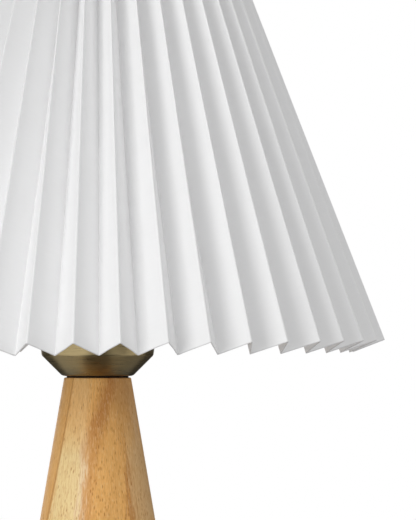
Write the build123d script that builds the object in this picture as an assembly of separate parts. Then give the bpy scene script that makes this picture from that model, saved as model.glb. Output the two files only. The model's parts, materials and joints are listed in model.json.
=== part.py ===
from build123d import *

import os
from math import acos, atan2, cos, hypot, pi, sin, sqrt

# Pleated paper table lamp. Millimetres, +Z up, the front towards -Y. The origin is on the lamp's axis,
# on the surface it stands on.

# ---- clearances --------------------------------------------------------------------------------
RUN = 0.08  # radial gap of a threaded or sliding fit
SLIP = 0.15  # radial gap of a part dropped into its seat
FREE = 0.3  # gap kept round a part that moves or is loose
THIN = 0.1  # gap between two flat faces that turn or slide on each other
WELD = 0.03  # gap left at a spot weld

# ---- standard parts ----------------------------------------------------------------------------
TUBE_R = 5.0  # hollow threaded tube M10 x 1, outside
TUBE_BORE_R = 3.5
NUT_ACROSS_FLATS = 17.0
NUT_T = 6.0
CUP_NUT_T = 4.0
BULB_CAP_R = 13.05  # E27 cap over its thread

# ---- wooden foot, weight and base --------------------------------------------------------------
FOOT_HEIGHT = 190.0
FOOT_TOP_R = 17.35
FOOT_SLOPE = 0.170  # radius gained for each millimetre down
FOOT_TOP_ROUND = 0.8
FOOT_BOTTOM_ROUND = 1.5
FOOT_BORE_GAP = 0.5  # left round the tube
FOOT_WALL = 10.0  # wood left round the weight's recess at the very bottom
RECESS_DEPTH = 28.0  # above the base board
BOARD_LEDGE = 3.5
BOARD_T = 2.5
FELT_T = 1.5
FELT_MARGIN = 4.5
WEIGHT_T = 10.0
WASHER_R = 14.0
WASHER_T = 1.5
TUBE_TAIL = 2.0  # tube showing below the bottom nut

# ---- cord inlet at the rear --------------------------------------------------------------------
INLET_Z = 11.0
INLET_BORE_R = 3.6
INLET_SLEEVE_R = 5.0
INLET_FLANGE_R = 7.5
INLET_FLANGE_T = 2.0
INLET_SPOT_DEPTH = 1.0
INLET_TAIL = 1.5

# ---- brass cup ---------------------------------------------------------------------------------
NECK_R = 15.2
NECK_T = 0.8
CUP_HEIGHT = 22.0
CUP_WALL = 1.2
CUP_CORNER_R = 18.1  # where the cone would meet the flat bottom
CUP_BREAK_R = 28.9  # where the 45 degree cone turns into the lip
CUP_LIP_SLOPE = 0.14
CUP_BOTTOM_ROUND = 4.0
CUP_BREAK_ROUND = 2.0
LOCK_WASHER_R = 9.5
LOCK_WASHER_T = 1.0

# ---- lampholder --------------------------------------------------------------------------------
CAP_BOSS_R = 9.0
CAP_BOSS_H = 5.0
CAP_FLOOR = 7.0  # thickness of the threaded bottom
CAP_SHOULDER_Z = 14.0
CAP_R = 20.5
CAP_WALL = 2.0
CAP_H = 40.0
GRUB_R = 1.5
BAR_R = 3.2
BAR_Z = 27.0  # above the lampholder's bottom
BAR_TRAVEL = 6.0
BAR_STANDS_OUT = 3.0  # of the end that is pushed in
BUTTON_R = 4.2
BUTTON_T = 2.5
BLOCK_Z = 19.0
BLOCK_H = 17.0
BRIDGE_R = 5.2
BRIDGE_T = 3.0
STRIP_T = 0.6
TERMINAL_R = 1.75
CONTACT_BLOCK_H = 18.0
SLEEVE_R = 19.75
SLEEVE_WALL = 2.95
SLEEVE_H = 36.0
SLEEVE_SPIGOT = 3.0
SHELL_WALL = 0.6
SHELL_H = 18.0
SHELL_FLANGE_T = 0.8
TONGUE_T = 0.9
SHADE_RING_BAND = 2.7  # wall of a shade ring's threaded collar
SHADE_RING_COLLAR = 5.0
SHADE_RING_FLANGE_R = 28.5
SHADE_RING_FLANGE_T = 1.5
LOWER_RING_Z = 47.5  # underside of the lower ring's collar, above the lampholder's bottom

# ---- bulb --------------------------------------------------------------------------------------
BULB_LENGTH = 108.0
BULB_R = 30.0
BULB_NECK_R = 14.2
BULB_NECK_Z = 24.0  # above the tip
BULB_SPLIT_Z = 58.0
BULB_WALL = 1.3
BULB_TIP_R = 4.6
BULB_TIP_T = 1.6
BULB_CAP_WALL = 0.5
BULB_CAP_Z = 4.6
LED_BOARD_T = 1.6

# ---- shade carrier, bent from wire -------------------------------------------------------------
FITTER_HOLE_R = 21.0
FITTER_R = 34.0
FITTER_T = 1.2
WIRE_R = 1.25
TOP_WIRE_R = 1.5
ARM_COUNT = 3
ARM_FIRST_ANGLE = 90.0
ARM_START_R = 30.2
ARM_KNEE_R = 38.5
ARM_KNEE_ROUND = 6.0
TOP_RING_DROP = 10.0  # below the valleys' upper ends

# ---- pleated paper shade -----------------------------------------------------------------------
PLEATS = 40
RIDGE_R_BOTTOM = 150.0
RIDGE_R_TOP = 62.538
SHADE_HEIGHT = 226.0  # from the lower end of a ridge to its upper end
PANEL_WIDTH = 20.0
PAPER_T = 0.35
SHADE_ABOVE_FOOT = 12.0  # from the foot's top to the lowest points of the shade
THREAD_R = 0.5
THREAD_DROP = 17.0  # below the ridges' upper ends

# ---- heights that follow -----------------------------------------------------------------------
FOOT_Z = FELT_T
FOOT_BOTTOM_R = FOOT_TOP_R + FOOT_SLOPE * FOOT_HEIGHT
FOOT_TOP_Z = FOOT_Z + FOOT_HEIGHT
RECESS_R = FOOT_BOTTOM_R - FOOT_WALL
RECESS_Z = FOOT_Z + BOARD_T
RECESS_TOP_Z = RECESS_Z + RECESS_DEPTH
WEIGHT_Z = RECESS_TOP_Z - WEIGHT_T
WASHER_Z = WEIGHT_Z - WASHER_T
NUT_Z = WASHER_Z - NUT_T
CUP_Z = FOOT_TOP_Z + NECK_T
LOCK_WASHER_Z = CUP_Z + CUP_WALL
CUP_NUT_Z = LOCK_WASHER_Z + LOCK_WASHER_T
HOLDER_Z = CUP_NUT_Z + CUP_NUT_T
BAR_CENTRE_Z = HOLDER_Z + BAR_Z
BLOCK_BOTTOM_Z = HOLDER_Z + BLOCK_Z
BLOCK_TOP_Z = BLOCK_BOTTOM_Z + BLOCK_H
SLEEVE_Z = HOLDER_Z + CAP_H
SHELL_Z = BLOCK_TOP_Z + CONTACT_BLOCK_H
BULB_Z = SHELL_Z + TONGUE_T + FREE
LOWER_FLANGE_TOP_Z = HOLDER_Z + LOWER_RING_Z + SHADE_RING_COLLAR
FITTER_Z = LOWER_FLANGE_TOP_Z + THIN
UPPER_RING_Z = FITTER_Z + FITTER_T + THIN

# ---- radii that follow -------------------------------------------------------------------------
CAP_INSIDE_R = CAP_R - CAP_WALL
BLOCK_R = CAP_INSIDE_R - FREE
SLEEVE_INSIDE_R = SLEEVE_R - SLEEVE_WALL
CONTACT_BLOCK_R = SLEEVE_INSIDE_R - FREE
SHELL_INSIDE_R = BULB_CAP_R + FREE
HALF_PITCH = pi / PLEATS


def valley_radius(ridge_radius):
    """Radius of the valley folds where the ridges have this radius, for panels of one width."""
    across = ridge_radius * sin(HALF_PITCH)
    return ridge_radius * cos(HALF_PITCH) - sqrt(PANEL_WIDTH**2 - across**2)


VALLEY_R_BOTTOM = valley_radius(RIDGE_R_BOTTOM)
VALLEY_R_TOP = valley_radius(RIDGE_R_TOP)
# Radius lost for each millimetre up a ridge. Each edge of the pleated strip is square to its folds, so
# it lies on a cone.
SHADE_SLOPE = (RIDGE_R_BOTTOM - RIDGE_R_TOP) / SHADE_HEIGHT
VALLEY_Z_BOTTOM = FOOT_TOP_Z + SHADE_ABOVE_FOOT
RIDGE_Z_BOTTOM = VALLEY_Z_BOTTOM + SHADE_SLOPE * (RIDGE_R_BOTTOM - VALLEY_R_BOTTOM)
RIDGE_Z_TOP = RIDGE_Z_BOTTOM + SHADE_HEIGHT
VALLEY_Z_TOP = RIDGE_Z_TOP - SHADE_SLOPE * (RIDGE_R_TOP - VALLEY_R_TOP)
VALLEY_SLOPE = (VALLEY_R_BOTTOM - VALLEY_R_TOP) / (VALLEY_Z_TOP - VALLEY_Z_BOTTOM)
# The valleys rest on the carrier's top ring.
TOP_RING_Z = VALLEY_Z_TOP - TOP_RING_DROP
TOP_RING_R = (
    VALLEY_R_TOP
    + VALLEY_SLOPE * TOP_RING_DROP
    - (TOP_WIRE_R + FREE) * hypot(1, VALLEY_SLOPE)
)


# ---- helpers -----------------------------------------------------------------------------------
def turned(*outline):
    """Solid turned about the lamp's axis from the (radius, height) corners of its outline."""
    return revolve(make_face(Plane.XZ * Polyline(*outline, close=True)), Axis.Z)


def washer(inner_r, outer_r, bottom_z, thickness):
    """Flat ring about the lamp's axis, or a disc where the inner radius is 0."""
    disc = Pos(0, 0, bottom_z + thickness / 2) * Cylinder(outer_r, thickness)
    if inner_r > 0:
        disc -= Pos(0, 0, bottom_z + thickness / 2) * Cylinder(inner_r, thickness)
    return disc


def hex_nut(bottom_z, thickness):
    """Hexagonal nut on the threaded tube."""
    outline = RegularPolygon(NUT_ACROSS_FLATS / 2, 6, major_radius=False)
    blank = extrude(Pos(0, 0, bottom_z) * outline, thickness)
    return blank - washer(0, TUBE_R + RUN, bottom_z, thickness)


def rod_x(radius, length, centre_x, z):
    """Round rod along X across the lamp's axis."""
    return Pos(centre_x, 0, z) * Rot(0, 90, 0) * Cylinder(radius, length)


def rod_y(radius, y0, y1, z):
    """Round rod along Y between two distances behind the lamp's axis."""
    return Pos(0, (y0 + y1) / 2, z) * Rot(90, 0, 0) * Cylinder(radius, y1 - y0)


# ---- base --------------------------------------------------------------------------------------
def felt_pad():
    """Felt disc the lamp stands on."""
    return washer(0, FOOT_BOTTOM_R - FELT_MARGIN, 0, FELT_T)


def base_board():
    """Fibreboard disc that closes the recess under the foot."""
    return washer(0, RECESS_R + BOARD_LEDGE - SLIP, FOOT_Z, BOARD_T)


def inlet_spot_y():
    """Distance behind the axis of the flat that the cord bush's flange sits on."""
    wall_r = FOOT_BOTTOM_R - FOOT_SLOPE * (INLET_Z - FOOT_Z)
    return wall_r - INLET_SPOT_DEPTH


def wooden_foot():
    """Turned cone with a tube bore, a recess for the weight and a hole for the cord bush."""
    cone = turned(
        (0, FOOT_Z), (FOOT_BOTTOM_R, FOOT_Z), (FOOT_TOP_R, FOOT_TOP_Z), (0, FOOT_TOP_Z)
    )
    rims = cone.edges().filter_by(GeomType.CIRCLE).sort_by(Axis.Z)
    cone = fillet(rims[-1], FOOT_TOP_ROUND)
    rims = cone.edges().filter_by(GeomType.CIRCLE).sort_by(Axis.Z)
    cone = fillet(rims[0], FOOT_BOTTOM_ROUND)
    cone -= washer(0, TUBE_R + FOOT_BORE_GAP, FOOT_Z, FOOT_HEIGHT)
    cone -= washer(0, RECESS_R, FOOT_Z, BOARD_T + RECESS_DEPTH)
    cone -= washer(0, RECESS_R + BOARD_LEDGE, FOOT_Z, BOARD_T)
    spot_y = inlet_spot_y()
    cone -= rod_y(INLET_SLEEVE_R + SLIP, RECESS_R - FOOT_WALL, spot_y, INLET_Z)
    cone -= rod_y(INLET_FLANGE_R + SLIP, spot_y, FOOT_BOTTOM_R + FOOT_WALL, INLET_Z)
    return cone


def iron_weight():
    """Cast disc clamped at the top of the recess."""
    return washer(TUBE_R + FREE, RECESS_R - SLIP, WEIGHT_Z, WEIGHT_T)


def bottom_washer():
    """Wide washer between the weight and the bottom nut."""
    return washer(TUBE_R + SLIP, WASHER_R, WASHER_Z, WASHER_T)


def bottom_nut():
    """Nut that clamps the weight, the foot and the cup together."""
    return hex_nut(NUT_Z, NUT_T)


def threaded_tube():
    """Hollow tube from the recess up into the lampholder, the way the cord goes."""
    bottom = NUT_Z - TUBE_TAIL
    return washer(TUBE_BORE_R, TUBE_R, bottom, HOLDER_Z + CAP_FLOOR - bottom)


def cord_bush():
    """Flanged bush in the rear of the foot, the cord's inlet."""
    spot_y = inlet_spot_y()
    inner_y = RECESS_R - INLET_TAIL
    bush = rod_y(INLET_SLEEVE_R, inner_y, spot_y, INLET_Z)
    bush += rod_y(INLET_FLANGE_R, spot_y, spot_y + INLET_FLANGE_T, INLET_Z)
    return bush - rod_y(INLET_BORE_R, inner_y, spot_y + INLET_FLANGE_T, INLET_Z)


# ---- neck and cup ------------------------------------------------------------------------------
def neck_washer():
    """Black ring between the wood and the cup."""
    return washer(TUBE_R + SLIP, NECK_R, FOOT_TOP_Z, NECK_T)


def cup_outline(inset):
    """Cup's outline moved inwards by a distance: flat bottom, 45 degree cone and lip."""
    rise = CUP_BREAK_R - CUP_CORNER_R
    shift = inset * (sqrt(2) - 1)
    lip_shift = inset * (1 - CUP_LIP_SLOPE) * (sqrt(2) - 1)
    lip_r = CUP_BREAK_R + CUP_LIP_SLOPE * (CUP_HEIGHT - rise)
    return (
        (CUP_CORNER_R - shift, CUP_Z + inset),
        (CUP_BREAK_R - inset, CUP_Z + rise + lip_shift),
        (lip_r - inset, CUP_Z + CUP_HEIGHT),
    )


def brass_cup():
    """Spun cup that hides the lampholder's lower end."""
    outside = turned((0, CUP_Z), *cup_outline(0), (0, CUP_Z + CUP_HEIGHT))
    rims = outside.edges().filter_by(GeomType.CIRCLE).sort_by(Axis.Z)
    outside = fillet(rims[0], CUP_BOTTOM_ROUND)
    rims = outside.edges().filter_by(GeomType.CIRCLE).sort_by(Axis.Z)
    outside = fillet(rims[-2], CUP_BREAK_ROUND)
    hollow = turned((0, CUP_Z + CUP_WALL), *cup_outline(CUP_WALL), (0, CUP_Z + CUP_HEIGHT))
    return outside - hollow - washer(0, TUBE_R + SLIP, CUP_Z, CUP_WALL)


def lock_washer():
    """Toothed washer under the cup's nut."""
    return washer(TUBE_R + SLIP, LOCK_WASHER_R, LOCK_WASHER_Z, LOCK_WASHER_T)


def cup_nut():
    """Thin nut that holds the cup down on the foot."""
    return hex_nut(CUP_NUT_Z, CUP_NUT_T)


# ---- lampholder --------------------------------------------------------------------------------
def grub_screw_z():
    """Height of the screw that locks the lampholder on the tube."""
    return HOLDER_Z + CAP_BOSS_H / 2


def lampholder_cap():
    """Lower shell, screwed on the tube, with holes for the push bar and the grub screw."""
    cone_inset = CAP_WALL * 0.25
    cap = turned(
        (TUBE_R + RUN, HOLDER_Z),
        (CAP_BOSS_R, HOLDER_Z),
        (CAP_BOSS_R, HOLDER_Z + CAP_BOSS_H),
        (CAP_R, HOLDER_Z + CAP_SHOULDER_Z),
        (CAP_R, SLEEVE_Z),
        (CAP_INSIDE_R, SLEEVE_Z),
        (CAP_INSIDE_R, HOLDER_Z + CAP_SHOULDER_Z + cone_inset),
        (CAP_BOSS_R, HOLDER_Z + CAP_FLOOR),
        (TUBE_R + RUN, HOLDER_Z + CAP_FLOOR),
    )
    cap -= rod_x(BAR_R + RUN, 2 * CAP_R + CAP_WALL, 0, BAR_CENTRE_Z)
    return cap - rod_y(GRUB_R + RUN, -CAP_BOSS_R - CAP_WALL, -TUBE_R, grub_screw_z())


def cap_grub_screw():
    """Small screw through the boss, against the tube."""
    return rod_y(GRUB_R, -CAP_BOSS_R, -TUBE_R - SLIP, grub_screw_z())


def bar_middle_x():
    """Middle of the push bar when its longer end stands out at +X."""
    return BAR_TRAVEL / 2


def bar_half_length():
    """Half the push bar's length, so that the shorter end stands out of the cap."""
    return CAP_R + BAR_STANDS_OUT + BAR_TRAVEL / 2


def bridge_x():
    """Place of the moving contact along the bar at rest, half its travel past the middle."""
    return bar_middle_x() + BRIDGE_T / 2


def switch_block():
    """Insulating block that guides the push bar and holds the fixed contacts."""
    room_x = bridge_x() + BRIDGE_T / 2 + FREE
    room_y = BRIDGE_R + FREE + STRIP_T + THIN
    room_bottom = BAR_CENTRE_Z - BRIDGE_R - FREE
    room_height = BLOCK_TOP_Z - room_bottom
    block = washer(0, BLOCK_R, BLOCK_BOTTOM_Z, BLOCK_H)
    block -= rod_x(BAR_R + RUN, 2 * CAP_R, 0, BAR_CENTRE_Z)
    room = Box(2 * room_x, 2 * room_y, room_height)
    block -= Pos(0, 0, room_bottom + room_height / 2) * room
    for side in (-1, 1):
        block -= terminal_hole(side, FREE)
    return block


def terminal_hole(side, extra):
    """Round bar upwards through the block's floor, where a terminal screw stands."""
    place = Pos(0, side * (BLOCK_R - 3 * TERMINAL_R), BLOCK_BOTTOM_Z + TERMINAL_R)
    return place * Cylinder(TERMINAL_R + extra, 2 * TERMINAL_R)


def terminal_screws():
    """Two screws in the underside of the switch block, for the cord's wires."""
    return Compound(children=[terminal_hole(side, 0) for side in (-1, 1)])


def switch_strips():
    """Two fixed contact strips beside the moving contact's path."""
    height = BLOCK_TOP_Z - BAR_CENTRE_Z + BRIDGE_R / 2
    strips = []
    for side in (-1, 1):
        y = side * (BRIDGE_R + FREE + STRIP_T / 2)
        blade = Box(BRIDGE_T, STRIP_T, height)
        strips.append(Pos(bridge_x() - BAR_TRAVEL, y, BLOCK_TOP_Z - height / 2) * blade)
    return Compound(children=strips)


def contact_block():
    """Porcelain block under the lamp cap."""
    return washer(0, CONTACT_BLOCK_R, BLOCK_TOP_Z, CONTACT_BLOCK_H)


def centre_contact():
    """Tongue that the bulb's tip presses on."""
    tongue = Box(1.3 * SHELL_INSIDE_R, 4 * TERMINAL_R, TONGUE_T)
    return Pos(0, 0, SHELL_Z + TONGUE_T / 2) * tongue


def screw_shell():
    """Metal shell that the bulb's cap screws into."""
    outer_r = SHELL_INSIDE_R + SHELL_WALL
    return turned(
        (SHELL_INSIDE_R, SHELL_Z),
        (CONTACT_BLOCK_R, SHELL_Z),
        (CONTACT_BLOCK_R, SHELL_Z + SHELL_FLANGE_T),
        (outer_r, SHELL_Z + SHELL_FLANGE_T),
        (outer_r, SHELL_Z + SHELL_H),
        (SHELL_INSIDE_R, SHELL_Z + SHELL_H),
    )


def lampholder_sleeve():
    """Upper shell, threaded outside for the shade rings, with a spigot into the cap."""
    top = SLEEVE_Z + SLEEVE_H
    mouth_r = SHELL_INSIDE_R + SHELL_WALL + FREE
    spigot_r = CAP_INSIDE_R - RUN
    return turned(
        (SLEEVE_INSIDE_R, SLEEVE_Z - SLEEVE_SPIGOT),
        (spigot_r, SLEEVE_Z - SLEEVE_SPIGOT),
        (spigot_r, SLEEVE_Z),
        (SLEEVE_R, SLEEVE_Z),
        (SLEEVE_R, top),
        (mouth_r, top),
        (mouth_r, top - SLEEVE_WALL / 2),
        (SLEEVE_INSIDE_R, top - SLEEVE_WALL / 2),
    )


def lower_shade_ring():
    """Threaded ring that the shade carrier rests on, its flange on top."""
    inner_r = SLEEVE_R + RUN
    collar_z = LOWER_FLANGE_TOP_Z - SHADE_RING_COLLAR
    ring = washer(inner_r, inner_r + SHADE_RING_BAND, collar_z, SHADE_RING_COLLAR)
    flange_z = LOWER_FLANGE_TOP_Z - SHADE_RING_FLANGE_T
    return ring + washer(inner_r, SHADE_RING_FLANGE_R, flange_z, SHADE_RING_FLANGE_T)


def upper_shade_ring():
    """Threaded ring that clamps the shade carrier, its flange below."""
    inner_r = SLEEVE_R + RUN
    ring = washer(inner_r, inner_r + SHADE_RING_BAND, UPPER_RING_Z, SHADE_RING_COLLAR)
    return ring + washer(inner_r, SHADE_RING_FLANGE_R, UPPER_RING_Z, SHADE_RING_FLANGE_T)


# ---- push bar ----------------------------------------------------------------------------------
def push_bar():
    """Bar through the lampholder that switches the lamp when either end is pushed."""
    return rod_x(BAR_R, 2 * bar_half_length(), bar_middle_x(), BAR_CENTRE_Z)


def push_button(side):
    """Wider button on one end of the bar."""
    x = bar_middle_x() + side * (bar_half_length() + BUTTON_T / 2)
    return rod_x(BUTTON_R, BUTTON_T, x, BAR_CENTRE_Z)


def switch_bridge():
    """Brass collar on the bar, the moving contact."""
    collar = rod_x(BRIDGE_R, BRIDGE_T, bridge_x(), BAR_CENTRE_Z)
    return collar - rod_x(BAR_R + WELD, BRIDGE_T, bridge_x(), BAR_CENTRE_Z)


# ---- bulb --------------------------------------------------------------------------------------
def bulb_tangent(wall):
    """Point where the bulb's neck, moved inwards by a wall, meets its round head."""
    centre_z = BULB_LENGTH - BULB_R
    head_r = BULB_R - wall
    neck_r = BULB_NECK_R - wall
    reach = hypot(neck_r, centre_z - BULB_NECK_Z)
    angle = atan2(BULB_NECK_Z - centre_z, neck_r) + acos(head_r / reach)
    return head_r * cos(angle), centre_z + head_r * sin(angle)


def bulb_neck_radius(height, wall):
    """Radius of the bulb's neck at a height above its tip."""
    tangent_r, tangent_z = bulb_tangent(wall)
    neck_r = BULB_NECK_R - wall
    share = (height - BULB_NECK_Z) / (tangent_z - BULB_NECK_Z)
    return neck_r + share * (tangent_r - neck_r)


def bulb_head(wall):
    """Solid of the bulb's round head above the housing, moved inwards by a wall."""
    tangent_r, tangent_z = bulb_tangent(wall)
    start_r = bulb_neck_radius(BULB_SPLIT_Z, wall)
    centre_z = BULB_LENGTH - BULB_R
    top_z = centre_z + BULB_R - wall
    angle = (atan2(tangent_z - centre_z, tangent_r) + pi / 2) / 2
    middle = ((BULB_R - wall) * cos(angle), centre_z + (BULB_R - wall) * sin(angle))
    line = Polyline((0, BULB_SPLIT_Z), (start_r, BULB_SPLIT_Z), (tangent_r, tangent_z))
    arc = ThreePointArc((tangent_r, tangent_z), middle, (0, top_z))
    axis_line = Line((0, top_z), (0, BULB_SPLIT_Z))
    outline = Plane.XZ * make_face(line + arc + axis_line)
    return Pos(0, 0, BULB_Z) * revolve(outline, Axis.Z)


def bulb_diffuser():
    """Opal head of the bulb."""
    return bulb_head(0) - bulb_head(BULB_WALL)


def bulb_housing():
    """Plastic body between the cap and the head."""
    spigot_r = BULB_CAP_R - BULB_CAP_WALL - SLIP
    rim_r = bulb_neck_radius(BULB_SPLIT_Z, 0)
    floor_z = BULB_Z + BULB_NECK_Z + BULB_WALL
    rim_z = BULB_Z + BULB_SPLIT_Z
    return turned(
        (0, floor_z - 2 * BULB_CAP_Z),
        (spigot_r, floor_z - 2 * BULB_CAP_Z),
        (spigot_r, BULB_Z + BULB_NECK_Z),
        (BULB_NECK_R, BULB_Z + BULB_NECK_Z),
        (rim_r, rim_z),
        (rim_r - BULB_WALL, rim_z),
        (BULB_NECK_R - BULB_WALL, floor_z),
        (0, floor_z),
    )


def bulb_led_board():
    """Metal board with the light source, held in the housing's rim."""
    z = BULB_SPLIT_Z - 2 * LED_BOARD_T
    return washer(0, bulb_neck_radius(z, BULB_WALL) - FREE, BULB_Z + z, LED_BOARD_T)


def bulb_screw_cap():
    """Thin metal cap with the lamp thread's outside radius."""
    start_r = BULB_CAP_R - 2 * BULB_CAP_WALL
    bottom = BULB_Z + BULB_CAP_Z
    top = BULB_Z + BULB_NECK_Z
    return turned(
        (start_r - BULB_CAP_WALL, bottom),
        (start_r, bottom),
        (BULB_CAP_R, bottom + 2 * BULB_CAP_WALL),
        (BULB_CAP_R, top),
        (BULB_CAP_R - BULB_CAP_WALL, top),
        (BULB_CAP_R - BULB_CAP_WALL, bottom + 2 * BULB_CAP_WALL),
    )


def bulb_insulator():
    """Black insulator between the cap and the tip."""
    top_r = BULB_CAP_R - 3 * BULB_CAP_WALL - WELD
    return turned(
        (0, BULB_Z + BULB_TIP_T),
        (BULB_TIP_R + 1, BULB_Z + BULB_TIP_T),
        (top_r, BULB_Z + BULB_CAP_Z),
        (top_r, BULB_Z + BULB_CAP_Z + BULB_CAP_WALL),
        (0, BULB_Z + BULB_CAP_Z + BULB_CAP_WALL),
    )


def bulb_tip():
    """Contact at the bottom of the bulb's cap."""
    return washer(0, BULB_TIP_R, BULB_Z, BULB_TIP_T)


# ---- shade carrier -----------------------------------------------------------------------------
def carrier_fitter_ring():
    """Flat ring clamped between the two shade rings."""
    return washer(FITTER_HOLE_R, FITTER_R, FITTER_Z, FITTER_T)


def carrier_arms():
    """Bent wires from the fitter ring up to the inside of the top ring."""
    foot_z = FITTER_Z + FITTER_T + WIRE_R + WELD
    head_r = TOP_RING_R - TOP_WIRE_R - WIRE_R - WELD
    path = FilletPolyline(
        (ARM_START_R, 0, foot_z),
        (ARM_KNEE_R, 0, foot_z),
        (head_r, 0, TOP_RING_Z + TOP_WIRE_R),
        radius=ARM_KNEE_ROUND,
    )
    section = Plane(origin=(ARM_START_R, 0, foot_z), z_dir=(1, 0, 0)) * Circle(WIRE_R)
    arm = sweep(section, path)
    step = 360 / ARM_COUNT
    return Compound(
        children=[Rot(0, 0, ARM_FIRST_ANGLE + step * i) * arm for i in range(ARM_COUNT)]
    )


def carrier_top_ring():
    """Wire ring that the shade's valleys rest on."""
    return Pos(0, 0, TOP_RING_Z) * Torus(TOP_RING_R, TOP_WIRE_R)


# ---- shade -------------------------------------------------------------------------------------
def pleat_outline(height, inside):
    """Closed zigzag through the folds at a height, along the paper's outer or inner face."""
    ridge_r = RIDGE_R_BOTTOM - SHADE_SLOPE * (height - RIDGE_Z_BOTTOM)
    valley_r = VALLEY_R_BOTTOM - VALLEY_SLOPE * (height - VALLEY_Z_BOTTOM)
    lean = atan2(valley_r * sin(HALF_PITCH), ridge_r - valley_r * cos(HALF_PITCH))
    mitre = PAPER_T / sin(lean)
    if inside:
        ridge_r -= mitre
    else:
        valley_r += mitre
    corners = []
    for fold in range(2 * PLEATS):
        angle = fold * HALF_PITCH
        radius = ridge_r if fold % 2 else valley_r
        corners.append((radius * sin(angle), -radius * cos(angle), height))
    return Wire(Polyline(*corners, close=True).edges())


def pleated_shade():
    """One strip of stiff paper, pleated into a cone, its edges square to the folds."""
    low = VALLEY_Z_BOTTOM - PAPER_T
    high = RIDGE_Z_TOP + PAPER_T
    skins = []
    for inside in (False, True):
        wires = [pleat_outline(low, inside), pleat_outline(high, inside)]
        skins.append(Solid.make_loft(wires, ruled=True))
    reach = RIDGE_R_BOTTOM + PANEL_WIDTH
    band = turned(
        (0, RIDGE_Z_BOTTOM - SHADE_SLOPE * RIDGE_R_BOTTOM),
        (reach, RIDGE_Z_BOTTOM + SHADE_SLOPE * (reach - RIDGE_R_BOTTOM)),
        (reach, RIDGE_Z_TOP + SHADE_SLOPE * (reach - RIDGE_R_TOP)),
        (0, RIDGE_Z_TOP - SHADE_SLOPE * RIDGE_R_TOP),
    )
    return (skins[0] - skins[1]) & band


def gathering_thread():
    """Thread through the pleats below their upper edge, which keeps them evenly spread."""
    ridge_r = RIDGE_R_TOP + SHADE_SLOPE * THREAD_DROP
    valley_r = VALLEY_R_TOP + VALLEY_SLOPE * (VALLEY_Z_TOP - RIDGE_Z_TOP + THREAD_DROP)
    ring = Torus((ridge_r + valley_r) / 2, THREAD_R)
    return Pos(0, 0, RIDGE_Z_TOP - THREAD_DROP) * ring


NODES = {
    "felt_pad": felt_pad,
    "base_board": base_board,
    "wooden_foot": wooden_foot,
    "iron_weight": iron_weight,
    "bottom_washer": bottom_washer,
    "bottom_nut": bottom_nut,
    "threaded_tube": threaded_tube,
    "cord_bush": cord_bush,
    "neck_washer": neck_washer,
    "brass_cup": brass_cup,
    "lock_washer": lock_washer,
    "cup_nut": cup_nut,
    "lampholder_cap": lampholder_cap,
    "cap_grub_screw": cap_grub_screw,
    "switch_block": switch_block,
    "switch_strips": switch_strips,
    "terminal_screws": terminal_screws,
    "contact_block": contact_block,
    "centre_contact": centre_contact,
    "screw_shell": screw_shell,
    "lampholder_sleeve": lampholder_sleeve,
    "lower_shade_ring": lower_shade_ring,
    "upper_shade_ring": upper_shade_ring,
    "push_bar": push_bar,
    "push_button_left": lambda: push_button(-1),
    "push_button_right": lambda: push_button(1),
    "switch_bridge": switch_bridge,
    "bulb_tip": bulb_tip,
    "bulb_insulator": bulb_insulator,
    "bulb_screw_cap": bulb_screw_cap,
    "bulb_housing": bulb_housing,
    "bulb_led_board": bulb_led_board,
    "bulb_diffuser": bulb_diffuser,
    "carrier_fitter_ring": carrier_fitter_ring,
    "carrier_arms": carrier_arms,
    "carrier_top_ring": carrier_top_ring,
    "pleated_shade": pleated_shade,
    "gathering_thread": gathering_thread,
}

os.makedirs("parts", exist_ok=True)
for node, make in NODES.items():
    export_step(make(), f"parts/{node}.step")
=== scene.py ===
"""Looks of a pleated paper table lamp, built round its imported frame. Metres, +Z up, front towards -Y."""

import json
import logging
import math
import random
from dataclasses import dataclass
from enum import Enum
from typing import Any, Dict, List, Mapping, Optional, Sequence, Tuple, Union

import bmesh
import bpy
from mathutils import Matrix, Vector

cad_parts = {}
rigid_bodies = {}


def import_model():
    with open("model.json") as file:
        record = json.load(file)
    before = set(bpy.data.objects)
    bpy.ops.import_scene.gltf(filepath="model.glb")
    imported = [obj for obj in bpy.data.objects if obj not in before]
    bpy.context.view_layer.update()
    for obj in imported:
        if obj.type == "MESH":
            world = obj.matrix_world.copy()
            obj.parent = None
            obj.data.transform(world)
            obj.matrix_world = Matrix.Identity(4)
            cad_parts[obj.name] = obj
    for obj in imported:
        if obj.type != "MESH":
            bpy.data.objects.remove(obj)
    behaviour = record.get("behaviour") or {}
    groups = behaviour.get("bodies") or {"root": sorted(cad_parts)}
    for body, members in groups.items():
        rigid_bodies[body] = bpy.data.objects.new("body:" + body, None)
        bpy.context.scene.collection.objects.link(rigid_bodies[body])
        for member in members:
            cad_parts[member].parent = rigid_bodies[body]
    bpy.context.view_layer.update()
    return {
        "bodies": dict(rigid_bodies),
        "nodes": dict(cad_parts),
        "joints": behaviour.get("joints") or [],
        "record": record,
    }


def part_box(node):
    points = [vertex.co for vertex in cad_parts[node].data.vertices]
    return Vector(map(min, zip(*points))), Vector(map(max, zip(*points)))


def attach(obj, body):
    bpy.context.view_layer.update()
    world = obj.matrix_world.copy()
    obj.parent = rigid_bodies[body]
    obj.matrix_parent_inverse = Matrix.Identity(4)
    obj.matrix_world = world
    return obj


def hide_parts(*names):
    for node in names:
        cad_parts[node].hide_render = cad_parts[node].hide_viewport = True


LOG = logging.getLogger("lamp")
MM = 0.001

Point2 = Tuple[float, float]
Point3 = Tuple[float, float, float]
Colour = Tuple[float, float, float]
Value = Union[float, int, bool, Sequence[float], bpy.types.NodeSocket, Any]


class Body(Enum):
    """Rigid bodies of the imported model."""

    LAMP = "lamp"
    SWITCH_BAR = "switch_bar"
    BULB_CONTACT = "bulb_contact"
    BULB = "bulb"
    CARRIER = "shade_carrier"
    SHADE_RING = "shade_ring"
    SHADE = "shade"


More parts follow.
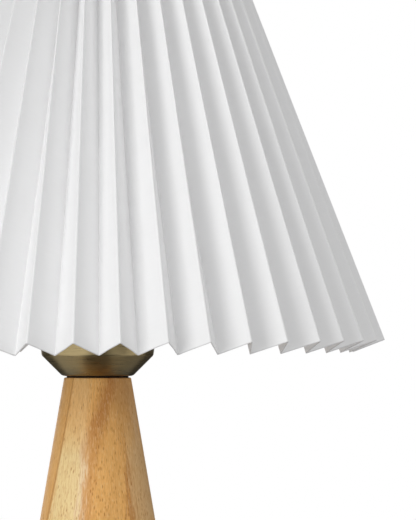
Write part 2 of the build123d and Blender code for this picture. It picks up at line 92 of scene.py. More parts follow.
# ---- node trees --------------------------------------------------------------------------------
class TreeWriter:
    """Places nodes in a shader or geometry tree and links them."""

    def __init__(self, tree: bpy.types.NodeTree) -> None:
        """Keeps the tree that it writes to.

        Args:
            tree: Shader or geometry node tree.
        """
        self.tree = tree

    def add(self, kind: str, values: Optional[Mapping[Any, Value]] = None, **settings: Any) -> Any:
        """Adds one node.

        Args:
            kind: The node's type name.
            values: Input name or index to a constant or to another node's output.
            **settings: Properties of the node itself.

        Returns:
            The new node.
        """
        node = self.tree.nodes.new(kind)
        for key, value in settings.items():
            setattr(node, key, value)
        for key, value in (values or {}).items():
            self.feed(node.inputs[key], value)
        return node

    def feed(self, socket: bpy.types.NodeSocket, value: Value) -> None:
        """Links an output to a socket, or sets the socket's own value.

        Args:
            socket: The input socket.
            value: A node's output or a constant.
        """
        if isinstance(value, bpy.types.NodeSocket):
            self.tree.links.new(value, socket)
        else:
            socket.default_value = value

    def math(self, operation: str, *values: Value) -> bpy.types.NodeSocket:
        """Adds a Math node and returns its output."""
        return self.add("ShaderNodeMath", dict(enumerate(values)), operation=operation).outputs[0]

    def times(self, *values: Value) -> bpy.types.NodeSocket:
        """Multiplies two numbers."""
        return self.math("MULTIPLY", *values)

    def plus(self, *values: Value) -> bpy.types.NodeSocket:
        """Adds two numbers."""
        return self.math("ADD", *values)

    def minus(self, *values: Value) -> bpy.types.NodeSocket:
        """Takes the second number from the first."""
        return self.math("SUBTRACT", *values)

    def over(self, *values: Value) -> bpy.types.NodeSocket:
        """Divides the first number by the second."""
        return self.math("DIVIDE", *values)

    def vector(self, operation: str, *values: Value) -> bpy.types.NodeSocket:
        """Adds a Vector Math node on vectors and returns its vector."""
        node = self.add("ShaderNodeVectorMath", dict(enumerate(values)), operation=operation)
        return node.outputs[0]

    def scaled(self, vector: Value, scale: Value) -> bpy.types.NodeSocket:
        """Multiplies a vector by a number."""
        node = self.add("ShaderNodeVectorMath", {0: vector, "Scale": scale}, operation="SCALE")
        return node.outputs[0]

    def split(self, vector: Value) -> Tuple[bpy.types.NodeSocket, ...]:
        """Returns the three parts of a vector."""
        return tuple(self.add("ShaderNodeSeparateXYZ", {0: vector}).outputs)

    def joined(self, x: Value = 0.0, y: Value = 0.0, z: Value = 0.0) -> bpy.types.NodeSocket:
        """Makes a vector of three numbers."""
        return self.add("ShaderNodeCombineXYZ", {0: x, 1: y, 2: z}).outputs[0]

    def blend(self, share: Value, low: Value, high: Value) -> bpy.types.NodeSocket:
        """Mixes two numbers by a share."""
        return self.add("ShaderNodeMix", {0: share, 2: low, 3: high}, data_type="FLOAT").outputs[0]

    def between(self, share: Value, low: Value, high: Value) -> bpy.types.NodeSocket:
        """Mixes two vectors by a share."""
        return self.add("ShaderNodeMix", {0: share, 4: low, 5: high}, data_type="VECTOR").outputs[1]

    def tint(self, share: Value, low: Value, high: Value, mode: str = "MIX") -> bpy.types.NodeSocket:
        """Mixes two colours by a share.

        Args:
            share: How much of the second, 0 to 1.
            low: The first colour.
            high: The second colour.
            mode: The Mix node's blend mode.

        Returns:
            The mixed colour.
        """
        low, high = (c if isinstance(c, bpy.types.NodeSocket) else (*c, 1.0) for c in (low, high))
        values = {0: share, 6: low, 7: high}
        return self.add("ShaderNodeMix", values, data_type="RGBA", blend_type=mode).outputs[2]

    def span(self, value: Value, low: Value, high: Value) -> bpy.types.NodeSocket:
        """Stretches a number so that low becomes 0 and high becomes 1, and clamps it."""
        return self.add("ShaderNodeMapRange", {0: value, 1: low, 2: high}, clamp=True).outputs[0]

    def noise(self, place: Value, scale: Value = 1.0, detail: float = 2.0,
              roughness: float = 0.5) -> bpy.types.NodeSocket:
        """Adds a Noise Texture and returns its number, which is about 0.5."""
        values = {"Vector": place, "Scale": scale, "Detail": detail, "Roughness": roughness}
        return self.add("ShaderNodeTexNoise", values).outputs[0]


FLOAT, VECTOR = "NodeSocketFloat", "NodeSocketVector"
WHOLE, GEOMETRY, MATERIAL = "NodeSocketInt", "NodeSocketGeometry", "NodeSocketMaterial"


def open_group(name: str, kind: str, inputs: Mapping[str, Tuple[str, Any]],
               outputs: Mapping[str, str]) -> Tuple[TreeWriter, Any, Any]:
    """Starts a node group with named inputs and outputs.

    Args:
        name: Name of the group.
        kind: ShaderNodeTree or GeometryNodeTree.
        inputs: Input name to its socket type and default, None for no default.
        outputs: Output name to its socket type.

    Returns:
        The writer, the input node's outputs and the output node's inputs.
    """
    tree = bpy.data.node_groups.new(name, kind)
    for label, (socket_type, default) in inputs.items():
        socket = tree.interface.new_socket(label, in_out="INPUT", socket_type=socket_type)
        if default is not None:
            socket.default_value = default
    for label, socket_type in outputs.items():
        tree.interface.new_socket(label, in_out="OUTPUT", socket_type=socket_type)
    writer = TreeWriter(tree)
    return writer, writer.add("NodeGroupInput").outputs, writer.add("NodeGroupOutput").inputs


# ---- shared surface effects --------------------------------------------------------------------
class SharedEffects:
    """Shader groups that more than one finish uses, each built once."""

    def __init__(self) -> None:
        """Builds the groups."""
        self.speckle = self._speckle()
        self.turning = self._turning()
        self.edges_and_hollows = self._edges_and_hollows()

    @staticmethod
    def _speckle() -> bpy.types.NodeTree:
        """Fine grain and soft clouds, for moulded plastic, paper, glaze and paint.

        Returns:
            The group.
        """
        writer, given, made = open_group(
            "speckle",
            "ShaderNodeTree",
            {"Grain size": (FLOAT, 0.001), "Cloud size": (FLOAT, 0.03)},
            {"Grain": FLOAT, "Clouds": FLOAT},
        )
        place = writer.add("ShaderNodeTexCoord").outputs["Object"]
        for label, source in (("Grain", "Grain size"), ("Clouds", "Cloud size")):
            scale = writer.over(1.0, given[source])
            writer.feed(made[label], writer.noise(place, scale, 3.0))
        return writer.tree

    @staticmethod
    def _turning() -> bpy.types.NodeTree:
        """Fine lines from a lathe round the lamp's axis, with uneven patches.

        Returns:
            The group.
        """
        writer, given, made = open_group(
            "turning_lines",
            "ShaderNodeTree",
            {"Line pitch": (FLOAT, 0.0004), "Length": (FLOAT, 0.02)},
            {"Lines": FLOAT, "Patches": FLOAT},
        )
        place = writer.add("ShaderNodeTexCoord").outputs["Object"]
        x, y, z = writer.split(place)
        spot = writer.joined(
            writer.over(x, given["Length"]),
            writer.over(y, given["Length"]),
            writer.over(z, given["Line pitch"]),
        )
        writer.feed(made["Lines"], writer.noise(spot, 1.0, 3.0))
        writer.feed(made["Patches"], writer.noise(place, 70.0, 3.0))
        return writer.tree

    @staticmethod
    def _edges_and_hollows() -> bpy.types.NodeTree:
        """Mask of the raised and hollow edges, broken up by a fine grain.

        Returns:
            The group.
        """
        writer, given, made = open_group(
            "edges_and_hollows", "ShaderNodeTree", {"Grain size": (FLOAT, 0.002)}, {"Worn": FLOAT, "Hollow": FLOAT}
        )
        bend = writer.add("ShaderNodeNewGeometry").outputs["Pointiness"]
        place = writer.add("ShaderNodeTexCoord").outputs["Object"]
        grain = writer.noise(place, writer.over(1.0, given["Grain size"]), 3.0)
        broken = writer.span(grain, 0.35, 0.65)
        writer.feed(made["Worn"], writer.times(writer.span(bend, 0.52, 0.62), broken))
        writer.feed(made["Hollow"], writer.times(writer.span(bend, 0.48, 0.38), broken))
        return writer.tree


# ---- finishes ----------------------------------------------------------------------------------
@dataclass(frozen=True)
class Finish:
    """A plain moulded, painted or glazed surface."""

    name: str
    colour: Colour
    roughness: float = 0.5
    metallic: float = 0.0
    coat: float = 0.0
    mottle: float = 0.06
    grain_size: float = 0.0008
    cloud_size: float = 0.02
    bump: float = 0.15
    bump_height: float = 0.02 * MM

    def material(self, effects: SharedEffects) -> bpy.types.Material:
        """Makes the material.

        Args:
            effects: Shader groups to place in it.

        Returns:
            The material.
        """
        material = bpy.data.materials.new(self.name)
        material.use_nodes = True
        shader = material.node_tree.nodes["Principled BSDF"]
        shader.inputs["Metallic"].default_value = self.metallic
        shader.inputs["Coat Weight"].default_value = self.coat
        self.dress(TreeWriter(material.node_tree), shader, effects)
        return material

    def dress(self, writer: TreeWriter, shader: Any, effects: SharedEffects) -> None:
        """Feeds the shader's colour, roughness and bump.

        Args:
            writer: Writes the tree's nodes.
            shader: The material's Principled shader.
            effects: Shader groups to place in it.
        """
        speckle = writer.add("ShaderNodeGroup", node_tree=effects.speckle)
        speckle.inputs["Grain size"].default_value = self.grain_size
        speckle.inputs["Cloud size"].default_value = self.cloud_size
        edge_mask = writer.add("ShaderNodeGroup", node_tree=effects.edges_and_hollows)
        cloud = writer.span(speckle.outputs["Clouds"], 0.3, 0.7)
        base = writer.tint(cloud, self.shade(1 - self.mottle), self.shade(1 + self.mottle))
        worn = writer.times(edge_mask.outputs["Worn"], 0.35)
        writer.feed(shader.inputs["Base Color"], writer.tint(worn, base, self.shade(1.25)))
        rough = writer.blend(cloud, self.roughness * 0.88, min(1.0, self.roughness * 1.12))
        writer.feed(shader.inputs["Roughness"], rough)
        self.emboss(writer, shader, speckle.outputs["Grain"])

    def shade(self, factor: float) -> Colour:
        """The main colour made darker or lighter."""
        return tuple(min(1.0, part * factor) for part in self.colour)

    def emboss(self, writer: TreeWriter, shader: Any, height: Value) -> None:
        """Feeds the shader's normal from a height."""
        values = {"Height": height, "Strength": self.bump, "Distance": self.bump_height}
        writer.feed(shader.inputs["Normal"], writer.add("ShaderNodeBump", values).outputs[0])


@dataclass(frozen=True)
class PaperFinish(Finish):
    """Stiff white shade paper with faint lines across the folds, a hint of fibre, painted shade along its
    lower cut edge and a painted glow in its folds.
    """

    line_pitch: float = 1.3 * MM
    line_length: float = 14 * MM
    # Width of the painted shade along the paper's lower cut edge.
    edge_shade_width: float = 0.6 * MM
    panel_width: float = 20 * MM
    fold_length: float = 240 * MM
    # Painted glow: emission that stands in for light through the paper, the second amount deep in the
    # valleys.
    through: float = 0.01
    painted_valley_glow: float = 0.1
    uv_map: str = "paper"

    def dress(self, writer: TreeWriter, shader: Any, effects: SharedEffects) -> None:
        """Adds cross lines along the strip and clouds of fibre, painted shade along the lower cut edge and a
        painted glow.

        Args:
            writer: Writes the tree's nodes.
            shader: The material's Principled shader.
            effects: Shader groups to place in it.
        """
        speckle = writer.add("ShaderNodeGroup", node_tree=effects.speckle)
        speckle.inputs["Grain size"].default_value = self.grain_size
        speckle.inputs["Cloud size"].default_value = self.cloud_size
        along, up, _ = writer.split(writer.add("ShaderNodeUVMap", uv_map=self.uv_map).outputs[0])
        spot = writer.joined(
            writer.over(along, self.line_length), writer.over(up, self.line_pitch)
        )
        line = writer.span(writer.noise(spot, 1.0, 2.0), 0.3, 0.7)
        cloud = writer.span(speckle.outputs["Clouds"], 0.3, 0.7)
        share = writer.blend(0.4, cloud, line)
        base = writer.tint(share, self.shade(1 - self.mottle), self.colour)
        # Painted shade: the paper is darker along its lower cut edge.
        cut = writer.times(writer.span(up, self.edge_shade_width, 0.3 * self.edge_shade_width), 0.6)
        writer.feed(shader.inputs["Base Color"], writer.tint(cut, base, self.shade(0.62)))
        shader.inputs["Roughness"].default_value = self.roughness
        shader.inputs["Specular IOR Level"].default_value = 0.1
        # Painted glow: emission lightens the paper, most of all deep in the upper folds.
        shader.inputs["Emission Strength"].default_value = 1.0
        writer.feed(shader.inputs["Emission Color"], self.painted_glow(writer, along, up))
        self.emboss(writer, shader, writer.blend(0.5, speckle.outputs["Grain"], line))

    def painted_glow(self, writer: TreeWriter, along: Value, up: Value) -> bpy.types.NodeSocket:
        """Painted glow in place of faint light that comes through the paper, most of it deep in the closer,
        upper folds.

        Args:
            writer: Writes the tree's nodes.
            along: Length along the strip, in metres.
            up: Height up the strip, in metres.

        Returns:
            Colour of the painted glow.
        """
        panel = writer.over(along, self.panel_width)
        deep = writer.minus(1.0, writer.math("PINGPONG", panel, 1.0))
        closer = writer.span(up, 0.0, self.fold_length)
        share = writer.times(writer.math("POWER", deep, 2.0), closer)
        return writer.blend(share, self.through, self.painted_valley_glow)


@dataclass(frozen=True)
class Streak:
    """An upright zone of the wood: where it lies across the grain, its colour and how it leans."""

    centre: float
    half_width: float
    softness: float
    colour: Colour
    strength: float
    lean: float = 0.0
    lowest: float = -50 * MM
    highest: float = 400 * MM


@dataclass(frozen=True)
class WoodFinish(Finish):
    """Oiled light hardwood, its grain along the cone's sides, with short open pores; some zones are painted
    light and shade.
    """

    spread: float = 25 * MM
    level: float = 150 * MM
    fibre: Colour = (0.60, 0.25, 0.055)
    fleck: Colour = (1.0, 0.74, 0.40)
    pore: Colour = (0.40, 0.10, 0.008)
    pore_width: float = 0.95 * MM
    pore_length: float = 3.3 * MM
    pore_crowd: Tuple[float, float, float] = (3 * MM, 6 * MM, 17 * MM)
    pore_share: float = 0.62
    slow_size: Point2 = (14 * MM, 40 * MM)
    fine_size: Point2 = (1.2 * MM, 13 * MM)
    fibre_size: Point2 = (0.5 * MM, 7 * MM)
    fleck_size: Point2 = (0.45 * MM, 2.6 * MM)
    drift: float = 6 * MM
    raggedness: float = 13 * MM
    streak_end: float = 12 * MM
    tone_and_light_streaks: Tuple[Streak, ...] = (
        # Pale wood low on the left: its own tone, and partly painted light where the lamp falls on that side.
        Streak(-14.5 * MM, 4.5 * MM, 4 * MM, (1.0, 0.82, 0.42), 0.8, highest=163 * MM),
        # Painted highlight: a thin pale sheen down the lit side.
        Streak(-7.7 * MM, 0.6 * MM, 2.2 * MM, (1.0, 0.84, 0.60), 0.5, highest=156 * MM),
        Streak(-6.5 * MM, 2.2 * MM, 6 * MM, (0.53, 0.195, 0.042), 0.72, 0.41, lowest=156 * MM),
        Streak(-3.5 * MM, 0.8 * MM, 3 * MM, (0.68, 0.30, 0.075), 0.6, 0.054, highest=160 * MM),
        # Painted light: the upper left made paler, where the shade keeps light off the wood.
        Streak(-13 * MM, 4.5 * MM, 5 * MM, (1.0, 0.62, 0.25), 0.7, lowest=163 * MM),
        # Painted shade: the upper right made darker, under the cup.
        Streak(17 * MM, 4.0 * MM, 5 * MM, (0.60, 0.30, 0.10), 0.65, lowest=168 * MM),
        Streak(23 * MM, 6.5 * MM, 2 * MM, (0.80, 0.53, 0.25), 0.8, highest=160 * MM),
        Streak(21 * MM, 1.2 * MM, 2 * MM, (0.85, 0.62, 0.38), 0.55, 0.1, 160 * MM, 176 * MM),
        Streak(15 * MM, 0.7 * MM, 1.8 * MM, (0.54, 0.22, 0.05), 0.7, highest=157 * MM),
        Streak(-29.2 * MM, 9.1 * MM, 0.6 * MM, (0.84, 0.46, 0.14), 0.85, 0.054),
        Streak(-20.1 * MM, 0.15 * MM, 0.5 * MM, (0.50, 0.20, 0.045), 0.6, 0.054),
    )

    def dress(self, writer: TreeWriter, shader: Any, effects: SharedEffects) -> None:
        """Builds the zones, fibres and pores in coordinates that follow the cone's sides.

        Args:
            writer: Writes the tree's nodes.
            shader: The material's Principled shader.
            effects: Not used.
        """
        x, y, z = writer.split(writer.add("ShaderNodeTexCoord").outputs["Object"])
        level = writer.joined(x, y)
        radius = writer.add("ShaderNodeVectorMath", {0: level}, operation="LENGTH").outputs["Value"]
        widen = writer.over(self.spread, writer.math("MAXIMUM", radius, 1 * MM))
        x, y = writer.times(x, widen), writer.times(y, widen)
        slow = writer.noise(self.stretched(writer, x, y, z, *self.slow_size), 1.0, 3.0)
        fine = writer.noise(self.stretched(writer, x, y, z, *self.fine_size), 1.0, 4.0, 0.65)
        shift = writer.times(writer.minus(slow, 0.5), self.drift)
        ragged = writer.times(writer.minus(fine, 0.5), self.raggedness)
        drawn = writer.plus(x, writer.plus(shift, ragged))
        base = writer.tint(writer.span(slow, 0.35, 0.65), self.shade(0.92), self.shade(1.06))
        for streak in self.tone_and_light_streaks:
            line = x if streak.softness < MM else drawn
            base = writer.tint(self.zone(writer, line, z, streak), base, streak.colour)
        fibres = writer.noise(self.stretched(writer, x, y, z, *self.fibre_size), 1.0, 3.0, 0.6)
        base = writer.tint(self.share_of(writer, fibres, 0.52, 0.30, 0.5), base, self.fibre)
        flecks = writer.noise(self.stretched(writer, x, y, z, *self.fleck_size), 1.0, 2.0)
        base = writer.tint(self.share_of(writer, flecks, 0.54, 0.72, 0.4), base, self.fleck)
        base = writer.tint(self.share_of(writer, flecks, 0.46, 0.28, 0.4), base, self.fibre)
        pores = self.pores(writer, x, y, z, slow)
        base = writer.tint(writer.times(pores, self.pore_share), base, self.pore)
        writer.feed(shader.inputs["Base Color"], base)
        writer.feed(shader.inputs["Roughness"], writer.blend(pores, self.roughness, 0.85))
        shader.inputs["Specular IOR Level"].default_value = 0.35
        self.emboss(writer, shader, writer.minus(writer.times(fibres, 0.5), pores))

    @staticmethod
    def share_of(writer: TreeWriter, value: Value, low: float, high: float,
                 most: float) -> bpy.types.NodeSocket:
        """Share that grows from 0 at one value to the most at another."""
        return writer.times(writer.span(value, low, high), most)

    def zone(self, writer: TreeWriter, x: Value, z: Value, streak: Streak) -> bpy.types.NodeSocket:
        """Mask of one streak.

        Args:
            writer: Writes the tree's nodes.
            x: Place across the grain.
            z: Height.
            streak: The zone.

        Returns:
            The mask.
        """
        rise = writer.minus(z, self.level)
        middle = writer.math("MULTIPLY_ADD", rise, streak.lean, streak.centre)
        away = writer.math("ABSOLUTE", writer.minus(x, middle))
        across = writer.span(away, streak.half_width + streak.softness, streak.half_width)
        above = writer.span(z, streak.lowest - self.streak_end, streak.lowest + self.streak_end)
        below = writer.span(z, streak.highest + self.streak_end, streak.highest - self.streak_end)
        ends = writer.times(above, below)
        return writer.times(writer.times(across, ends), streak.strength)

    @staticmethod
    def stretched(writer: TreeWriter, x: Value, y: Value, z: Value, width: float,
                  length: float) -> bpy.types.NodeSocket:
        """Coordinates that count in widths across the grain and in lengths along it."""
        parts = [writer.over(value, size) for value, size in ((x, width), (y, width), (z, length))]
        return writer.joined(*parts)

    def pores(self, writer: TreeWriter, x: Value, y: Value, z: Value, crowd: Value) -> bpy.types.NodeSocket:
        """Mask of short upright pores, thick in some places and thin in others.

        Args:
            writer: Writes the tree's nodes.
            x: Place across the grain.
            y: Place through the grain.
            z: Height.
            crowd: Slow noise that thins and thickens the pores.

        Returns:
            The mask.
        """
        place = self.stretched(writer, x, y, z, self.pore_width, self.pore_length)
        cells = writer.add("ShaderNodeTexVoronoi", {"Vector": place, "Scale": 1.0})
        lot, depth, _ = writer.split(cells.outputs["Color"])
        centre, near, far = self.pore_crowd
        away = writer.math("ABSOLUTE", writer.minus(x, centre))
        crowded = writer.times(writer.span(crowd, 0.36, 0.56), writer.span(away, far, near))
        kept = writer.math("LESS_THAN", lot, writer.blend(crowded, 0.35, 1.0))
        spots = writer.times(writer.span(cells.outputs["Distance"], 0.38, 0.16), kept)
        return writer.times(spots, writer.blend(depth, 0.5, 1.0))


@dataclass(frozen=True)
class TurnedMetalFinish(Finish):
    """Metal with fine lines from the lathe round the lamp's axis."""

    line_pitch: float = 0.35 * MM
    line_length: float = 16 * MM
    patina: float = 0.25

    def dress(self, writer: TreeWriter, shader: Any, effects: SharedEffects) -> None:
        """Feeds colour, roughness and bump from the turning lines.

        Args:
            writer: Writes the tree's nodes.
            shader: The material's Principled shader.
            effects: Shader groups to place in it.
        """
        lines = writer.add("ShaderNodeGroup", node_tree=effects.turning)
        lines.inputs["Line pitch"].default_value = self.line_pitch
        lines.inputs["Length"].default_value = self.line_length
        edge_mask = writer.add("ShaderNodeGroup", node_tree=effects.edges_and_hollows)
        streak = writer.span(lines.outputs["Lines"], 0.3, 0.7)
        patch = writer.span(lines.outputs["Patches"], 0.3, 0.7)
        share = writer.blend(0.45, streak, patch)
        base = writer.tint(share, self.shade(1 - self.patina), self.shade(1 + self.patina))
        base = self.painted_neck_shade(writer, base)
        # Darker in the hollow edges.
        hollow_dark = writer.times(edge_mask.outputs["Hollow"], 0.5)
        writer.feed(shader.inputs["Base Color"], writer.tint(hollow_dark, base, self.shade(0.45)))
        rough = writer.blend(streak, self.roughness * 0.85, self.roughness * 1.2)
        writer.feed(shader.inputs["Roughness"], rough)
        self.emboss(writer, shader, lines.outputs["Lines"])

    def painted_neck_shade(self, writer: TreeWriter, base: Value) -> Value:
        """Colour of the metal with painted shade near the neck. Plain metal has none."""
        return base


@dataclass(frozen=True)
class CupBrassFinish(TurnedMetalFinish):
    """Brass painted darker towards the neck of the cup, a painted shade and dark reflection there."""

    neck_shade_colour: Colour = (0.195, 0.172, 0.115)
    neck_shade_share: float = 0.75
    neck_level: float = 192.5 * MM
    clear_level: float = 197.5 * MM

    def painted_neck_shade(self, writer: TreeWriter, base: Value) -> Value:
        """Paints shade on the lowest part of the cup, darker towards the neck.

        Args:
            writer: Writes the tree's nodes.
            base: The metal's own colour.

        Returns:
            The colour with the painted shade.
        """
        # Painted shade and reflection: darker towards the neck.
        height = writer.split(writer.add("ShaderNodeTexCoord").outputs["Object"])[2]
        near = writer.span(height, self.clear_level, self.neck_level)
        return writer.tint(writer.times(near, self.neck_shade_share), base, self.neck_shade_colour)


class Finishes:
    """All the lamp's materials, made once and looked up by name."""

    SPECS: Tuple[Finish, ...] = (
        PaperFinish("shade_paper", (0.955, 0.955, 0.957), 0.85, mottle=0.025, bump=0.3),
        WoodFinish("foot_wood", (0.95, 0.51, 0.15), 0.46, bump=0.3, bump_height=0.05 * MM),
        CupBrassFinish("cup_brass", (0.48, 0.377, 0.195), 0.3, 1.0, patina=0.15, bump=0.3),
        TurnedMetalFinish("contact_brass", (0.72, 0.52, 0.22), 0.3, 1.0, patina=0.12),
        TurnedMetalFinish("zinc_steel", (0.56, 0.56, 0.58), 0.35, 1.0, patina=0.12),
        TurnedMetalFinish("shell_metal", (0.66, 0.64, 0.60), 0.25, 1.0, patina=0.1),
        TurnedMetalFinish("bulb_cap_metal", (0.72, 0.72, 0.73), 0.28, 1.0, patina=0.08),
        Finish("holder_black", (0.018, 0.018, 0.019), 0.36, mottle=0.2),
        Finish("black_rubber", (0.005, 0.005, 0.005), 0.85, mottle=0.2, bump=0.4),
        Finish("bulb_black", (0.01, 0.01, 0.01), 0.2, mottle=0.2),
        Finish("porcelain", (0.80, 0.78, 0.72), 0.22, coat=0.4),
        Finish("bulb_opal", (0.86, 0.86, 0.84), 0.3, coat=0.2, mottle=0.015, bump=0.05),
        Finish("bulb_plastic", (0.80, 0.80, 0.79), 0.38, mottle=0.03),
        Finish("led_board", (0.75, 0.75, 0.76), 0.4),
        Finish("carrier_wire", (0.78, 0.78, 0.77), 0.34, coat=0.25),
        Finish("cast_iron", (0.03, 0.03, 0.032), 0.7, mottle=0.3, bump=0.6, bump_height=0.2 * MM),
        Finish("fibreboard", (0.22, 0.13, 0.06), 0.8, mottle=0.25, bump=0.3),
        Finish("felt", (0.02, 0.018, 0.016), 0.95, mottle=0.4, bump=0.8, bump_height=0.3 * MM),
        Finish("thread_white", (0.80, 0.78, 0.73), 0.8, mottle=0.1, bump=0.4),
    )

    def __init__(self, effects: SharedEffects) -> None:
        """Makes every material.

        Args:
            effects: Shader groups that the materials place.
        """
        self.by_name: Dict[str, bpy.types.Material] = {
            spec.name: spec.material(effects) for spec in self.SPECS
        }


# ---- mesh helpers ------------------------------------------------------------------------------
@dataclass(frozen=True)
class Extent:
    """Place of a turned CAD node: its radius and its lowest and highest level."""

    radius: float
    bottom: float
    top: float

    @classmethod
    def of(cls, node: str) -> "Extent":
        """Reads the place from the frame.

        Args:
            node: Name of a node that is round about the lamp's axis.

        Returns:
            Its radius and levels.
        """
        low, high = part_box(node)
        return cls(high.x, low.z, high.z)


def round_corners(points: Sequence[Point2], radii: Mapping[int, float], steps: int = 6) -> List[Point2]:
    """Rounds chosen corners of a closed outline.

    Args:
        points: Corners as radius and height.
        radii: Corner index to its rounding radius.
        steps: Straight pieces in each rounding.

    Returns:
        The outline with arcs in place of those corners.
    """
    outline: List[Point2] = []
    for index, point in enumerate(points):
        radius = radii.get(index, 0.0)
        if not radius:
            outline.append(point)
            continue
        corner = Vector(point)
        before = (Vector(points[index - 1]) - corner).normalized()
        after = (Vector(points[(index + 1) % len(points)]) - corner).normalized()
        half = before.angle(after) / 2
        reach = radius / math.tan(half)
        centre = corner + (before + after).normalized() * (radius / math.sin(half))
        start = corner + before * reach - centre
        end = corner + after * reach - centre
        first = math.atan2(start.y, start.x)
        sweep = math.remainder(math.atan2(end.y, end.x) - first, math.tau)
        for step in range(steps + 1):
            angle = first + sweep * step / steps
            outline.append((centre.x + radius * math.cos(angle), centre.y + radius * math.sin(angle)))
    return outline


def divided(points: Sequence[Point2], start: int, count: int) -> List[Point2]:
    """Divides the straight side after one corner of an outline.

    Args:
        points: The outline.
        start: Index of the corner that the side starts from.
        count: Number of pieces to divide it into.

    Returns:
        The outline with the new points in it.
    """
    first, last = Vector(points[start]), Vector(points[(start + 1) % len(points)])
    new = [tuple(first.lerp(last, step / count)) for step in range(1, count)]
    return [*points[: start + 1], *new, *points[start + 1:]]


def turned(outline: Sequence[Point2], segments: int = 96) -> bpy.types.Mesh:
    """Turns an outline about the lamp's axis.

    Args:
        outline: Radius and height of each point. It is closed, or starts and ends on the axis.
        segments: Steps round the axis.

    Returns:
        A closed mesh.
    """
    work = bmesh.new()
    rings: List[List[bmesh.types.BMVert]] = []
    for radius, height in outline:
        count = segments if radius > 1e-9 else 1
        angles = [math.tau * step / count for step in range(count)]
        rings.append([work.verts.new((radius * math.cos(a), radius * math.sin(a), height)) for a in angles])
    pairs = list(zip(rings, rings[1:]))
    if len(rings[0]) > 1 or len(rings[-1]) > 1:
        pairs.append((rings[-1], rings[0]))
    for low, high in pairs:
        for step in range(segments):
            after = step + 1
            corners = (low[step % len(low)], low[after % len(low)],
                       high[after % len(high)], high[step % len(high)])
            different = list(dict.fromkeys(corners))
            if len(different) > 2:
                work.faces.new(different)
    mesh = bpy.data.meshes.new("turned")
    work.to_mesh(mesh)
    work.free()
    return mesh


def washer_outline(inner: float, outer: float, bottom: float, top: float, rounding: float,
                   steps: int = 4) -> List[Point2]:
    """Outline of a flat ring with its four edges rounded."""
    corners = ((inner, bottom), (outer, bottom), (outer, top), (inner, top))
    return round_corners(corners, {index: rounding for index in range(4)}, steps)


def disc_outline(outer: float, bottom: float, top: float, rounding: float) -> List[Point2]:
    """Outline of a disc with its two rims rounded."""
    corners = ((0.0, bottom), (outer, bottom), (outer, top), (0.0, top))
    return round_corners(corners, {1: rounding, 2: rounding})


def smooth_piece(name: str, mesh: bpy.types.Mesh, sharp_degrees: float = 40.0) -> bpy.types.Object:
    """Turns a mesh into a smooth-shaded object in the scene.

    Args:
        name: Name of the piece.
        mesh: Its mesh, already in place.
        sharp_degrees: Edges that bend more than this stay sharp.

    Returns:
        The object, at the origin.
    """
    work = bmesh.new()
    work.from_mesh(mesh)
    bmesh.ops.recalc_face_normals(work, faces=work.faces)
    work.to_mesh(mesh)
    work.free()
    mesh.name = name
    piece = bpy.data.objects.new(name, mesh)
    bpy.context.scene.collection.objects.link(piece)
    smooth(piece, sharp_degrees)
    return piece


def smooth(piece: bpy.types.Object, sharp_degrees: float = 40.0) -> None:
    """Shades a piece smooth but for its sharper edges."""
    piece.data.shade_smooth()
    piece.data.set_sharp_from_angle(angle=math.radians(sharp_degrees))


def apply_modifiers(piece: bpy.types.Object) -> None:
    """Puts the result of a piece's modifiers in its mesh and removes them.

    Args:
        piece: The piece.
    """
    graph = bpy.context.evaluated_depsgraph_get()
    result = bpy.data.meshes.new_from_object(
        piece.evaluated_get(graph), preserve_all_data_layers=True, depsgraph=graph
    )
    result.name = piece.data.name
    piece.modifiers.clear()
    piece.data = result


def run_tree(piece: bpy.types.Object, tree: bpy.types.NodeTree, values: Mapping[str, Value]) -> None:
    """Runs a geometry tree on a piece and keeps its result as a plain mesh.

    Args:
        piece: Object whose mesh goes into the tree.
        tree: The geometry tree.
        values: Input name to its value.
    """
    modifier = piece.modifiers.new(tree.name, "NODES")
    modifier.node_group = tree
    identifiers = {
        item.name: item.identifier for item in tree.interface.items_tree if item.in_out == "INPUT"
    }
    for label, value in values.items():
        modifier[identifiers[label]] = value
    apply_modifiers(piece)


def drop_slivers(piece: bpy.types.Object, distance: float = 0.001 * MM) -> None:
    """Cuts a piece's faces to triangles and drops those that have no area.

    Args:
        piece: A closed mesh object, after its drilling.
        distance: Points nearer than this become one.
    """
    work = bmesh.new()
    work.from_mesh(piece.data)
    bmesh.ops.triangulate(work, faces=work.faces)
    bmesh.ops.remove_doubles(work, verts=work.verts, dist=distance)
    bmesh.ops.dissolve_degenerate(work, dist=distance, edges=work.edges)
    bmesh.ops.triangulate(work, faces=[face for face in work.faces if len(face.verts) > 3])
    work.to_mesh(piece.data)
    work.free()


def cut_holes(piece: bpy.types.Object, rods: Sequence[Tuple[Point3, Point3, float]]) -> None:
    """Drills round holes through a piece.

    Args:
        piece: The closed mesh object to drill.
        rods: Start, end and radius of each drill.
    """
    for start, end, radius in rods:
        first, last = Vector(start), Vector(end)
        mesh = turned(disc_outline(radius, 0.0, (last - first).length, radius * 0.01), 48)
        turn = (last - first).to_track_quat("Z", "Y").to_matrix().to_4x4()
        mesh.transform(Matrix.Translation(first) @ turn)
        drill = smooth_piece("drill", mesh)
        modifier = piece.modifiers.new("hole", "BOOLEAN")
        modifier.operation = "DIFFERENCE"
        modifier.solver = "EXACT"
        modifier.object = drill
        apply_modifiers(piece)
        bpy.data.objects.remove(drill)
    drop_slivers(piece)
    smooth(piece)


